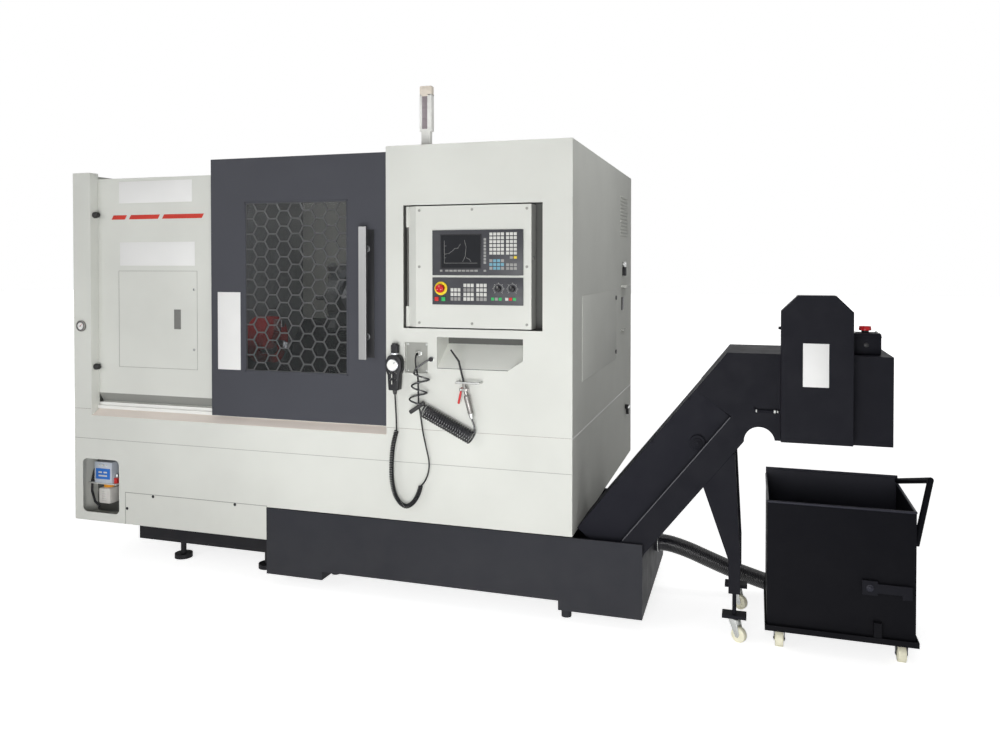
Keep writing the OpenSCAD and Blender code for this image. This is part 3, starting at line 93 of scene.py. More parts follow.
class Finish:
    """A procedural material under construction, read on Object coordinates."""

    def __init__(self, name, **sockets):
        self.mat = bpy.data.materials.new(name)
        self.mat.use_nodes = True
        self.tree = self.mat.node_tree
        self.bsdf = self.tree.nodes["Principled BSDF"]
        self.coords = self.tree.nodes.new("ShaderNodeTexCoord").outputs["Object"]
        for key, value in sockets.items():
            self.bsdf.inputs[key.replace("_", " ")].default_value = value
        FINISH[name] = self.mat

    def add(self, kind, **inputs):
        """New node whose inputs take a value or another node's output."""
        node = self.tree.nodes.new(kind)
        for key, value in inputs.items():
            socket = node.inputs[key.replace("_", " ")]
            if isinstance(value, bpy.types.NodeSocket):
                self.tree.links.new(value, socket)
            else:
                socket.default_value = value
        return node

    def link(self, output, key):
        """Leads an output into the shader."""
        self.tree.links.new(output, self.bsdf.inputs[key])

    def noise(self, scale, detail=3.0, stretch=(1.0, 1.0, 1.0)):
        """Cloudy pattern; scale is in cells a metre."""
        place = self.add("ShaderNodeMapping", Vector=self.coords)
        place.inputs["Scale"].default_value = stretch
        return self.add("ShaderNodeTexNoise", Vector=place.outputs[0], Scale=scale, Detail=detail).outputs["Fac"]

    def between(self, fac, low, high, start=0.3, end=0.7):
        """Maps a pattern to a range of numbers."""
        node = self.add("ShaderNodeMapRange", Value=fac)
        for key, value in (("From Min", start), ("From Max", end), ("To Min", low), ("To Max", high)):
            node.inputs[key].default_value = value
        return node.outputs[0]

    def mix(self, fac, a, b):
        """Mixes two colours by a pattern."""
        node = self.tree.nodes.new("ShaderNodeMix")
        node.data_type = "RGBA"
        self.tree.links.new(fac, node.inputs["Factor"])
        for key, value in ((6, a), (7, b)):
            if isinstance(value, bpy.types.NodeSocket):
                self.tree.links.new(value, node.inputs[key])
            else:
                node.inputs[key].default_value = (*value[:3], 1.0)
        return node.outputs[2]

    def tone(self, pattern, colour, low, high):
        """Colour that a pattern varies between two shares of itself."""
        return self.mix(self.between(pattern, 0.0, 1.0), tint(colour, low), tint(colour, high))

    def bump(self, height, strength, depth):
        """Fine relief; depth is in metres."""
        node = self.add("ShaderNodeBump", Height=height, Strength=strength, Distance=depth)
        self.link(node.outputs[0], "Normal")

    def height(self):
        """Height above the floor in metres."""
        return self.add("ShaderNodeSeparateXYZ", Vector=self.coords).outputs["Z"]


def tint(colour, share):
    """Colour made darker or lighter by a share."""
    return tuple(min(1.0, c * share) for c in colour[:3])


# Colour of the dust, and the heights in metres between which it thins out
DUST = (0.42, 0.4, 0.36)
DUST_HEIGHTS = (0.05, 0.55)


def painted(name, colour, rough, grain, depth, dust=0.0, ior=1.22):
    """Sprayed sheet metal: slight cloudiness, orange-peel grain and dust towards the floor."""
    f = Finish(name, IOR=ior)
    tone = f.tone(f.noise(2.2), colour, 0.95, 1.04)
    if dust:
        low = f.between(f.height(), dust, 0.0, *DUST_HEIGHTS)
        dusty = f.add("ShaderNodeMath", Value=low)
        dusty.operation = "MULTIPLY"
        f.tree.links.new(f.noise(9.0, 6.0), dusty.inputs[1])
        tone = f.mix(dusty.outputs[0], tone, DUST)
    f.link(tone, "Base Color")
    f.link(f.between(f.noise(14.0, 4.0), rough - 0.05, rough + 0.06), "Roughness")
    f.bump(f.noise(grain, 2.0), 0.25, depth)


def metal(name, colour, rough, stretch, scale=160.0):
    """Ground or drawn metal with fine lines along one way."""
    f = Finish(name, Metallic=1.0)
    lines = f.noise(scale, 5.0, stretch)
    f.link(f.tone(lines, colour, 0.86, 1.08), "Base Color")
    f.link(f.between(lines, rough - 0.07, rough + 0.08), "Roughness")
    f.bump(lines, 0.12, 0.0002)


def casting(name, colour, rough):
    """Painted or bare cast iron with a sandy skin."""
    f = Finish(name, Metallic=0.35)
    f.link(f.tone(f.noise(30.0, 6.0), colour, 0.8, 1.15), "Base Color")
    f.link(f.between(f.noise(55.0, 4.0), rough - 0.08, rough + 0.08), "Roughness")
    f.bump(f.noise(420.0, 4.0), 0.35, 0.0006)


def moulded(name, colour, rough, grain=650.0, depth=0.00015, ior=1.3, **sockets):
    """Moulded plastic, rubber or glass with a fine spark grain."""
    f = Finish(name, IOR=ior, **sockets)
    f.link(f.tone(f.noise(22.0, 4.0), colour, 0.92, 1.06), "Base Color")
    f.link(f.between(f.noise(60.0, 3.0), rough - 0.05, rough + 0.05), "Roughness")
    f.bump(f.noise(grain, 3.0), 0.3, depth)


def make_finishes(colours):
    """Makes every finish, the larger paints from the panel's colours."""
    cover, door, black = colours.cover, colours.door, colours.conveyor
    painted("cover_paint", cover, 0.72, 900.0, 0.00012, 0.35)
    # Cover paint darkened: painted shade for the ledge's overhang and the seam lines
    painted("cover_painted_shade", tint(cover, 0.42), 0.5, 900.0, 0.00012)
    # Warmer, lighter paint for the sill's upward faces, which really have the covers' paint: painted light
    painted("sill_painted_light", (0.9, 0.82, 0.75), 0.42, 600.0, 0.00012)
    # Cover paint lightened: painted light for the tray's sloped floor
    painted("tray_painted_light", tint(cover, 1.4), 0.45, 900.0, 0.00012)
    painted("door_paint", door, 0.45, 800.0, 0.00014)
    painted("tank_paint", (0.03, 0.031, 0.037), 0.55, 700.0, 0.00015, 0.04, 1.16)
    painted("conveyor_paint", black, 0.55, 520.0, 0.00015, 0.02, 1.15)
    # Conveyor black lightened for the top cover: painted light, the casing's own paint
    painted("conveyor_top_painted_light", tint(black, 1.3), 0.55, 520.0, 0.00015, ior=1.14)
    painted("cart_paint", tint(black, 0.55), 0.55, 480.0, 0.0002, 0.015, 1.12)
    # Cart black lightened for the bin's inner back wall: painted light
    painted("bin_inside_painted_light", tint(black, 2.6), 0.5, 480.0, 0.0002, ior=1.3)
    # Grey line along the conveyor casing's edge: painted highlight
    painted("edge_painted_highlight", (0.11, 0.11, 0.12), 0.4, 520.0, 0.0001)
    # Cart black lightened for the rims: painted highlight along the cart's edges
    painted("rim_painted_highlight", tint(black, 2.8), 0.34, 480.0, 0.0001)
    painted("guard_bars", colours.guard, 0.42, 800.0, 0.0001)
    painted("chuck_red", colours.chuck, 0.35, 500.0, 0.0002)
    painted("stripe_red", colours.stripe, 0.38, 900.0, 0.0001)
    painted("plate_white", (0.78, 0.78, 0.77), 0.4, 700.0, 0.00008)
    painted("socket_plate", (0.34, 0.345, 0.32), 0.36, 300.0, 0.0002)
    painted("pull_grey", (0.2, 0.2, 0.19), 0.4, 300.0, 0.0001)
    painted("rail_white", (0.84, 0.84, 0.81), 0.36, 700.0, 0.0001)
    painted("dark_casting", tint(black, 0.9), 0.5, 260.0, 0.0004, 0.05, 1.2)
    # Cover paint darkened much further: painted shade for recesses
    painted("recess_painted_shade", tint(cover, 0.17), 0.55, 900.0, 0.00012)
    metal("bright_steel", (0.5, 0.51, 0.53), 0.26, (1.0, 12.0, 12.0))
    metal("turned_steel", (0.5, 0.51, 0.53), 0.24, (14.0, 1.0, 1.0))
    metal("zinc_plate", (0.48, 0.49, 0.48), 0.3, (1.0, 1.0, 4.0), 90.0)
    metal("handle_aluminium", (0.27, 0.27, 0.27), 0.38, (18.0, 18.0, 1.0), 220.0)
    metal("gun_metal", (0.25, 0.24, 0.23), 0.34, (1.0, 1.0, 5.0), 90.0)
    casting("grey_iron", (0.2, 0.205, 0.215), 0.42)
    moulded("black_plastic", (0.018, 0.018, 0.02), 0.42)
    moulded("unit_plastic", (0.05, 0.051, 0.058), 0.4)
    moulded("key_white", (0.6, 0.6, 0.57), 0.45)
    moulded("key_grey", (0.3, 0.3, 0.29), 0.45)
    moulded("key_blue", (0.16, 0.36, 0.46), 0.45)
    moulded("key_yellow", (0.75, 0.56, 0.06), 0.4)
    moulded("key_red", (0.55, 0.03, 0.03), 0.38)
    moulded("key_green", (0.04, 0.42, 0.12), 0.4)
    moulded("stop_red", (0.55, 0.015, 0.02), 0.28)
    moulded("stop_yellow", (0.85, 0.62, 0.03), 0.35)
    moulded("white_plastic", (0.78, 0.78, 0.75), 0.4)
    moulded("pump_blue", (0.03, 0.16, 0.55), 0.4)
    moulded("pump_case", (0.5, 0.54, 0.6), 0.4)
    moulded("cap_orange", (0.75, 0.32, 0.03), 0.4)
    moulded("wheel_cream", (0.9, 0.87, 0.68), 0.45)
    moulded("black_rubber", (0.012, 0.012, 0.012), 0.5, 300.0, 0.0003, 1.5)
    moulded("cable_jacket", (0.01, 0.01, 0.012), 0.3, 400.0, 0.00006)
    moulded("hose_gloss", (0.01, 0.01, 0.014), 0.14, 300.0, 0.00002, 1.6)
    moulded("jar_clear", (0.82, 0.8, 0.76), 0.25, 200.0, 0.0001, Alpha=0.75)
    moulded("lamp_smoke", (0.27, 0.235, 0.25), 0.2, 120.0, 0.0002)
    moulded("lamp_cap", (0.74, 0.67, 0.58), 0.3, 120.0, 0.0002)
    moulded("screen_glass", (0.012, 0.013, 0.016), 0.12, 30.0, 0.00002)
    moulded("window_pane", (0.045, 0.048, 0.048), 0.06, 4.0, 0.0001, 1.2, Alpha=0.3)


# Shapes


def round_edges(bm, edges, offset):
    """Rounds edges in two steps."""
    bmesh.ops.bevel(
        bm, geom=edges, offset=offset, offset_type="OFFSET", segments=2, profile=0.5, affect="EDGES",
        clamp_overlap=True, material=-1,
    )


def upright_to(way):
    """Turn that leads Z to a way."""
    return Vector((0, 0, 1)).rotation_difference(Vector(way)).to_matrix().to_4x4()


class Piece:
    """A visible piece under construction, in millimetres from the cabinet's corner; mat is the number of a finish."""

    def __init__(self):
        self.bm = bmesh.new()

    def _finish_part(self, verts, edge, mat):
        """Gives a new part its finish and rounds its edges."""
        for f in {f for v in verts for f in v.link_faces}:
            f.material_index = mat
        if edge > 0:
            edges = {e for v in verts for e in v.link_edges if e.calc_face_angle(0.0) > PIECE_TURN}
            round_edges(self.bm, list(edges), edge)

    def box(self, lo, hi, edge=0.0, mat=0, turn=None):
        """Block between two corners, turned about its middle."""
        lo, hi = Vector(lo), Vector(hi)
        made = bmesh.ops.create_cube(self.bm, size=1.0)["verts"]
        size = Matrix.Diagonal((*(hi - lo), 1.0))
        place = Matrix.Translation((lo + hi) / 2)
        bmesh.ops.transform(self.bm, matrix=place @ (turn or Matrix()) @ size, verts=made)
        self._finish_part(made, edge, mat)

    def border(self, outer, wide, y0, y1, edge=0.0, mat=0):
        """Four bars inside an upright outline given as x0, x1, z0 and z1."""
        x0, x1, z0, z1 = outer
        self.box((x0, y0, z0), (x0 + wide, y1, z1), edge, mat)
        self.box((x1 - wide, y0, z0), (x1, y1, z1), edge, mat)
        self.box((x0, y0, z0), (x1, y1, z0 + wide), edge, mat)
        self.box((x0, y0, z1 - wide), (x1, y1, z1), edge, mat)

    def rod(self, a, b, r, r_end=None, edge=0.0, mat=0, sides=32):
        """Round or many-sided bar between two points."""
        a, b = Vector(a), Vector(b)
        way = b - a
        made = bmesh.ops.create_cone(
            self.bm, cap_ends=True, segments=sides, radius1=r, radius2=r if r_end is None else r_end,
            depth=way.length,
        )["verts"]
        bmesh.ops.transform(self.bm, matrix=Matrix.Translation((a + b) / 2) @ upright_to(way), verts=made)
        self._finish_part(made, edge, mat)

    def tick(self, c, degrees, r0, r1, thick, mat, sides=6):
        """Mark on an upright dial, at an angle from its top and between two radii."""
        w = math.radians(degrees)
        way = Vector((math.sin(w), 0, math.cos(w)))
        self.rod(Vector(c) + way * r0, Vector(c) + way * r1, thick, mat=mat, sides=sides)

    def ball(self, c, r, mat=0, squeeze=(1, 1, 1)):
        """Ball, flattened by a share along each axis."""
        made = bmesh.ops.create_uvsphere(self.bm, u_segments=24, v_segments=14, radius=r)["verts"]
        place = Matrix.Translation(c) @ Matrix.Diagonal((*squeeze, 1.0))
        bmesh.ops.transform(self.bm, matrix=place, verts=made)
        self._finish_part(made, 0.0, mat)

    def hoop(self, c, axis, r, thick, mat=0, sides=32):
        """Round ring about an axis, spun by itself and then added."""
        ring = bmesh.new()
        made = bmesh.ops.create_circle(ring, segments=12, radius=thick)["verts"]
        stand = Matrix.Translation((r, 0, 0)) @ Matrix.Rotation(math.pi / 2, 4, "X")
        bmesh.ops.transform(ring, matrix=stand, verts=made)
        bmesh.ops.spin(
            ring, geom=ring.verts[:] + ring.edges[:], cent=(0, 0, 0), axis=(0, 0, 1), angle=2 * math.pi, steps=sides,
            use_merge=True,
        )
        bmesh.ops.transform(ring, matrix=Matrix.Translation(c) @ upright_to(axis), verts=ring.verts[:])
        bmesh.ops.recalc_face_normals(ring, faces=ring.faces[:])
        for f in ring.faces:
            f.material_index = mat
        mesh = bpy.data.meshes.new("ring")
        ring.to_mesh(mesh)
        ring.free()
        self.bm.from_mesh(mesh)
        bpy.data.meshes.remove(mesh)

    def plate(self, points, y0, y1, edge=0.0, mat=0):
        """Flat outline in X and Z, thickened from y0 to y1."""
        verts = [self.bm.verts.new((x, y0, z)) for x, z in points]
        face = self.bm.faces.new(verts)
        made = bmesh.ops.extrude_face_region(self.bm, geom=[face])["geom"]
        far = [g for g in made if isinstance(g, bmesh.types.BMVert)]
        bmesh.ops.translate(self.bm, vec=(0, y1 - y0, 0), verts=far)
        bmesh.ops.recalc_face_normals(self.bm, faces=list({f for v in verts + far for f in v.link_faces}))
        self._finish_part(verts + far, edge, mat)

    def bolt(self, c, way, r, mat=0, height=None):
        """Hexagon head on a round collar, standing on a face."""
        way = Vector(way).normalized()
        c = Vector(c)
        h = height or r * 0.9
        self.rod(c, c + way * h * 0.35, r * 1.5, edge=r * 0.1, mat=mat, sides=24)
        self.rod(c, c + way * h, r, edge=r * 0.14, mat=mat, sides=6)

    def done(self, name, body, slot, *finishes):
        """Ends the piece and puts it in the scene."""
        bmesh.ops.transform(self.bm, matrix=TO_FRAME, verts=self.bm.verts)
        mesh = bpy.data.meshes.new(name)
        self.bm.to_mesh(mesh)
        self.bm.free()
        return dress(mesh, name, body, finishes, PIECE_SHARP)


def dress(mesh, name, body, finishes, sharp):
    """Puts a mesh in the scene with its finishes, riding on a body; sharp is in degrees."""
    for finish in finishes:
        mesh.materials.append(FINISH[finish])
    for p in mesh.polygons:
        p.use_smooth = True
    mesh.set_sharp_from_angle(angle=math.radians(sharp))
    obj = bpy.data.objects.new(name, mesh)
    bpy.context.scene.collection.objects.link(obj)
    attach(obj, body)
    return obj


def soften(node, finish, edge, other=None, pick=None):
    """A copy of a CAD node with its sheet edges rounded, standing for the node.

    Faces whose place and normal pick accepts get the other finish.
    """
    bm = bmesh.new()
    bm.from_mesh(NODES[node].data)
    bmesh.ops.remove_doubles(bm, verts=bm.verts, dist=2e-5)
    bmesh.ops.dissolve_limit(bm, angle_limit=math.radians(1.0), verts=bm.verts, edges=bm.edges)
    turned = [e for e in bm.edges if len(e.link_faces) == 2 and e.calc_face_angle(0.0) > SHEET_TURN]
    round_edges(bm, turned, edge * MM)
    for f in bm.faces:
        f.material_index = 1 if pick and pick(from_corner(f.calc_center_median()), f.normal) else 0
    mesh = bpy.data.meshes.new(node + "_skin")
    bm.to_mesh(mesh)
    bm.free()
    finishes = [finish, other] if other else [finish]
    obj = dress(mesh, node + "_skin", BODY_OF[node], finishes, SHEET_SHARP)
    even = obj.modifiers.new("even", "WEIGHTED_NORMAL")
    even.keep_sharp = True
    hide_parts(node)


def finish_node(node, finish):
    """Gives a CAD node a finish and keeps its shape."""
    data = NODES[node].data
    data.materials.clear()
    data.materials.append(FINISH[finish])
    for p in data.polygons:
        p.material_index = 0


# Values a user would change


def paint_value(name, description, default):
    """Colour among the values."""
    return FloatVectorProperty(
        name=name, description=description, subtype="COLOR", size=3, default=default, min=0, max=1
    )


class LatheColours(bpy.types.PropertyGroup):
    """Colours of the larger paints"""

    cover: paint_value("Cover paint", "Light grey of the covers", (0.66, 0.67, 0.63))
    door: paint_value("Door paint", "Slate of the sliding door", (0.059, 0.061, 0.072))
    conveyor: paint_value("Conveyor paint", "Black of the conveyor and cart", (0.0095, 0.0097, 0.0135))
    guard: paint_value("Window guard", "Grey of the honeycomb bars", (0.085, 0.086, 0.088))
    chuck: paint_value("Chuck", "Red of the chuck body", (0.3, 0.02, 0.02))
    stripe: paint_value("Stripe", "Red of the stripe on the headstock cover", (0.56, 0.05, 0.035))


class LatheTrim(bpy.types.PropertyGroup):
    """Sizes of small trim"""

    sheet_edge: FloatProperty(
        name="Sheet edge", description="Rounding of folded sheet edges in millimetres", default=1.6, min=0.2, max=2.0
    )
    screw_r: FloatProperty(
        name="Screw radius", description="Radius of cover screws in millimetres", default=5.0, min=2.0, max=10.0
    )
    coil_turns: IntProperty(
        name="Hose turns", description="Turns in the wound air hose", default=22, min=10, max=60
    )


class LatheView(bpy.types.PropertyGroup):
    """The photo's camera"""

    focal: FloatProperty(
        name="Focal length", description="Lens in millimetres on a 36 mm frame", default=29.73, min=10, max=100
    )
    yaw: FloatProperty(
        name="Yaw", description="Turn of the camera to the left", subtype="ANGLE", default=math.radians(17.13)
    )
    pitch: FloatProperty(
        name="Pitch", description="Tilt of the camera downwards", subtype="ANGLE", default=math.radians(0.9)
    )
    shift: FloatProperty(
        name="Shift", description="Vertical lens shift as a share of the width", default=-0.0963, min=-0.3, max=0.3
    )


def colours():
    """The scene's colours."""
    return bpy.context.scene.lathe_colours


def trim():
    """The scene's sizes of trim."""
    return bpy.context.scene.lathe_trim


# Covers

COVER_SKINS = ("left_end_cover", "kick_plate", "right_side_panel", "roof", "rear_cover", "hatch_door")
# Front face of the set-back sheet and its hatch, and the heights of the seams at the sill and under it
SHEET_Y = 52
SILL_SEAM, LOWER_SEAM = 790, 637
# Left column's inner face, where the door stops
COLUMN_X = -2525


class LATHE_OT_covers(bpy.types.Operator):
    """Paints the covers and adds their plates, stripe, screws and end stops"""

    bl_idname = "lathe.covers"
    bl_label = "Covers"

    def execute(self, context):
        edge = trim().sheet_edge
        for node in COVER_SKINS:
            soften(node, "cover_paint", edge)
        # Upward faces of the sill get painted light
        soften("sill_cover", "cover_paint", edge, "sill_painted_light", lambda c, n: n.z > 0.3)
        # The headstock cover's downward faces low on its ledge get painted shade
        soften("headstock_cover", "cover_paint", edge, "cover_painted_shade", lambda c, n: n.z < -0.2 and c.z < 900)
        # Faces deep in the cabinet front's recess for the panel get painted shade
        soften("cabinet_front", "cover_paint", edge, "recess_painted_shade", lambda c, n: c.y > 3.0 and c.z > 1230)
        # The back of the oil bay in the lower cover gets painted shade
        soften("lower_cover", "cover_paint", edge, "recess_painted_shade", lambda c, n: c.y > 140 and -2630 < c.x < -2300)
        # Tray pocket: painted light on its sloped floor, painted shade on its back wall and ceiling
        soften("tray_pocket", "tray_painted_light", edge, "recess_painted_shade", lambda c, n: n.z < -0.5 or n.y < -0.9)
        finish_node("splash_walls", "grey_iron")
        finish_node("door_rails", "rail_white")
        self.plates()
        self.stripe()
        self.hatch_fittings()
        self.stops()
        self.screws()
        self.side_fittings()
        self.seams()
        return {"FINISHED"}

    def plates(self):
        """Two bare plates on the set-back sheet."""
        p = Piece()
        for x0, x1, z0, z1 in ((-2390, -1946, 1848, 1958), (-2386, -1931, 1528, 1648)):
            p.box((x0, 50.6, z0), (x1, SHEET_Y, z1), 0.5)
        p.done("bare_plates", "machine", "white_plastic", "plate_white")

    def stripe(self):
        """Slanted red stripe in three parts."""
        p = Piece()
        low, high, lean = 1765, 1787, 13
        for x0, x1 in ((-2438, -2341), (-2329, -2138), (-2126, -1876)):
            outline = [(x0, low), (x1 - lean, low), (x1, high), (x0 + lean, high)]
            p.plate(outline, 50.9, SHEET_Y, 0.2)
        p.done("cover_stripe", "machine", "cover_paint", "stripe_red")

    def hatch_fittings(self):
        """Two slotted locks and a flush pull."""
        p = Piece()
        lock_x = -1937
        for z in (1408, 1107):
            p.rod((lock_x, 49, z), (lock_x, SHEET_Y, z), 7, edge=1, mat=0)
            p.box((lock_x - 2, 48, z - 5), (lock_x + 2, 49.2, z + 5), 0.3, mat=1)
        x0, x1, z0, z1 = -2056, -2016, 1208, 1307
        p.border((x0, x1, z0, z1), 4, 50.8, SHEET_Y, 0.4, 2)
        p.box((x0 + 3, 52.6, z0 + 3), (x1 - 3, 53.6, z1 - 3), 0.0, 2)
        p.done("hatch_fittings", "hatch", "black_paint", "zinc_plate", "black_plastic", "pull_grey")

    def stops(self):
        """Rubber end stops for the door."""
        p = Piece()
        y = 27
        for z in (1005, 1789):
            p.rod((COLUMN_X, y, z), (COLUMN_X + 13, y, z), 16, edge=1.5)
            p.rod((COLUMN_X + 11, y, z), (COLUMN_X + 26, y, z), 14.4, r_end=13.6, edge=1.2)
        p.done("door_stops", "machine", "black_rubber", "black_rubber")

    def screws(self):
        """Screws of the lower covers."""
        p = Piece()
        r = trim().screw_r
        for x, z in ((-2148, 366), (-2307, 293), (-1670, 367)):
            p.bolt((x, 0, z), FRONT, r)
        p.done("cover_screws", "machine", "black_paint", "black_plastic")

    def seams(self):
        """Painted shadow lines between the covers and round the hatch, a painted highlight along the right side's seam,
        and the piece that ends the sill.
        """
        p = Piece()
        for x0, x1, z in ((-865, 0, SILL_SEAM), (-2635, COLUMN_X, SILL_SEAM), (-2635, 0, LOWER_SEAM)):
            p.box((x0 + 2, -0.35, z - 0.9), (x1 - 2, 0.3, z + 0.9))
        # Pale strip along the right side's seam: painted highlight
        p.box((-0.3, 4, 786), (1.6, 1730, 791), 0.6, 1)
        gap = 1.4
        lo, hi = map(from_corner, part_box("hatch_door"))
        p.border((lo.x - gap, hi.x + gap, lo.z - gap, hi.z + gap), gap, 51.6, 52.4)
        lo, hi = map(from_corner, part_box("kick_plate"))
        p.box((lo.x - 3.2, 1.2, lo.z), (lo.x + 0.2, 3, hi.z + 3))
        p.box((lo.x - 3.2, 1.2, hi.z - 0.2), (hi.x, 3, hi.z + 3.2))
        p.done("cover_seams", "machine", "cover_paint", "cover_painted_shade", "plate_white")
        t = Piece()
        t.plate([(4, 750), (4, SILL_SEAM), (SHEET_Y, SILL_SEAM), (SHEET_Y, 786)], 0, 4, 0.3)
        place = Matrix.Translation((COLUMN_X, 0, 0)) @ Matrix.Rotation(math.pi / 2, 4, "Z")
        bmesh.ops.transform(t.bm, matrix=place, verts=t.bm.verts)
        t.done("sill_end", "machine", "cover_paint", "cover_paint")

    def side_fittings(self):
        """Lid, air slots, sockets, shelves and tap on the right side, whose face is at X of zero."""
        p = Piece()
        paint, black, zinc = range(3)
        p.box((0, 203, 1008), (2.5, 1150, 1392), 1.0, paint)
        for z in (1350, 1050):
            p.rod((2, 1130, z), (8, 1130, z), 12, edge=1.5, mat=black)
        slant = Matrix.Rotation(0.35, 4, "Y")
        for k in range(12):
            z = 1700 + k * 20
            p.box((0, 1300, z), (5, 1560, z + 9), 2.0, paint, slant)
        for y in (1390, 1430):
            p.rod((0, y, 1535), (14, y, 1535), 17, edge=2, mat=zinc)
            p.rod((6, y, 1519), (6, y, 1469), 11, edge=2, mat=black)
        p.box((0, 1330, 1400), (34, 1480, 1416), 3, paint)
        p.box((0, 1345, 1270), (6, 1405, 1345), 2, black)
        p.box((0, 1340, 1150), (16, 1480, 1158), 2, paint)
        y, z = 1498, 684
        p.rod((0, y, z), (22, y, z), 14, edge=2, mat=black)
        p.rod((14, y, z), (14, y, 640), 9, edge=1, mat=black)
        p.box((20, y - 32, z - 6), (26, y + 32, z + 6), 1.5, zinc)
        p.done("side_fittings", "machine", "cover_paint", "cover_paint", "black_plastic", "zinc_plate")


# Sliding door


class LATHE_OT_door(bpy.types.Operator):
    """Paints the sliding door and builds its window frame, handle and bare plate"""

    bl_idname = "lathe.door"
    bl_label = "Sliding door"

    def execute(self, context):
        soften("door_panel", "door_paint", 2.0)
        finish_node("window_glass", "window_pane")
        finish_node("window_guard", "guard_bars")
        soften("door_handle", "handle_aluminium", 2.0)
        self.window_trim()
        self.plate()
        return {"FINISHED"}

    def window_trim(self):
        """Seal round the window, and the strip behind the handle."""
        p = Piece()
        x0, x1, z0, z1 = -1609, -1069, 1022, 1828
        out = 7
        p.border((x0 - out, x1 + out, z0 - out, z1 + out), out + 1, 8.4, 12, 1.2)
        p.done("window_seal", "door", "dark_paint", "door_paint")
        m = Piece()
        m.box((-976, 6.5, 1104), (-928, 10.2, 1694), 1.5, 0)
        for z in (1201, 1605):
            m.rod((-965, 10, z), (-965, 4, z), 17, edge=1.5, mat=1)
        m.done("handle_strip", "door", "black_paint", "black_plastic", "grey_iron")

    def plate(self):
        """Bare plate beside the window."""
        p = Piece()
        p.box((-1768, 8.9, 1022), (-1640, 10, 1399), 0.4)
        p.done("door_plate", "door", "white_plastic", "plate_white")


# Operator panel

# Finishes of the display unit, and their numbers
UNIT_FINISHES = (
    "unit_plastic", "black_plastic", "screen_glass", "key_white", "key_grey", "key_blue", "key_yellow", "key_red",
    "key_green",
)
CASE, BLACK, GLASS, WHITE, GREY, BLUE, YELLOW, RED, GREEN = range(len(UNIT_FINISHES))
# Left and right edges of the display unit, and the places of the stop button and the two knobs
UNIT_X = (-635, -215)
CONTROLS_Z = 1427
STOP_X = -593
KNOBS = (("feed_knob", "feed_dial", -326.3), ("speed_knob", "speed_dial", -263.3))
KEY_FRONT, KEY_BACK = -11.6, -9.5

# A plain curve on a grid, in millimetres from the screen's lower left corner
SCREEN_LINES = (
    ((14, 20), (14, 120)),
    ((14, 20), (168, 20)),
    ((14, 60), (34, 62), (52, 74), (64, 86), (76, 84), (90, 104)),
    ((14, 96), (24, 96)),
    ((14, 44), (22, 44)),
    ((100, 26), (112, 50), (116, 92), (108, 122)),
    ((116, 44), (132, 36), (140, 24)),
)

# Blocks of keys: lower left corner from the unit's left edge and the floor, width, height, columns, rows, and one
# finish a row from below, or one a key
KEY_BLOCKS = (
    (60, 1500, 156, 11, 8, 1, [GREY]),
    (36, 1500, 14, 11, 1, 1, [GREY]),
    (240, 1500, 14, 11, 1, 1, [GREY]),
    (240, 1534, 14, 116, 1, 8, [GREY]),
    (266, 1574, 70, 100, 4, 6, [WHITE]),
    (342, 1574, 52, 100, 3, 6, [WHITE]),
    (266, 1508, 70, 50, 4, 3, [(GREY, BLUE, BLUE, GREY), BLUE, (GREY, BLUE, BLUE, GREY)]),
    (342, 1508, 52, 32, 3, 2, [GREY]),
    (359, 1556, 17, 15, 1, 1, [GREY]),
    (377, 1556, 17, 15, 1, 1, [YELLOW]),
    (86, 1371, 49, 60, 3, 3, [GREY, WHITE, WHITE]),
    (146, 1371, 51, 80, 3, 4, [WHITE, WHITE, GREY, WHITE]),
    (206, 1371, 51, 80, 3, 4, [GREY, WHITE, WHITE, WHITE]),
    (274, 1374, 52, 17, 3, 1, [(GREEN, GREY, GREEN)]),
    (338, 1374, 52, 17, 3, 1, [(WHITE, RED, GREEN)]),
)


def keys(p, x, z, w, h, cols, rows, mats):
    """Block of keys whose lower left corner is at x and z."""
    cw, ch = w / cols, h / rows
    for j in range(rows):
        row = mats[j % len(mats)]
        for i in range(cols):
            mat = row[i % len(row)] if isinstance(row, tuple) else row
            lo = (x + (i + 0.1) * cw, KEY_FRONT, z + (j + 0.12) * ch)
            hi = (x + (i + 0.9) * cw, KEY_BACK, z + (j + 0.88) * ch)
            p.box(lo, hi, 0.7, mat)


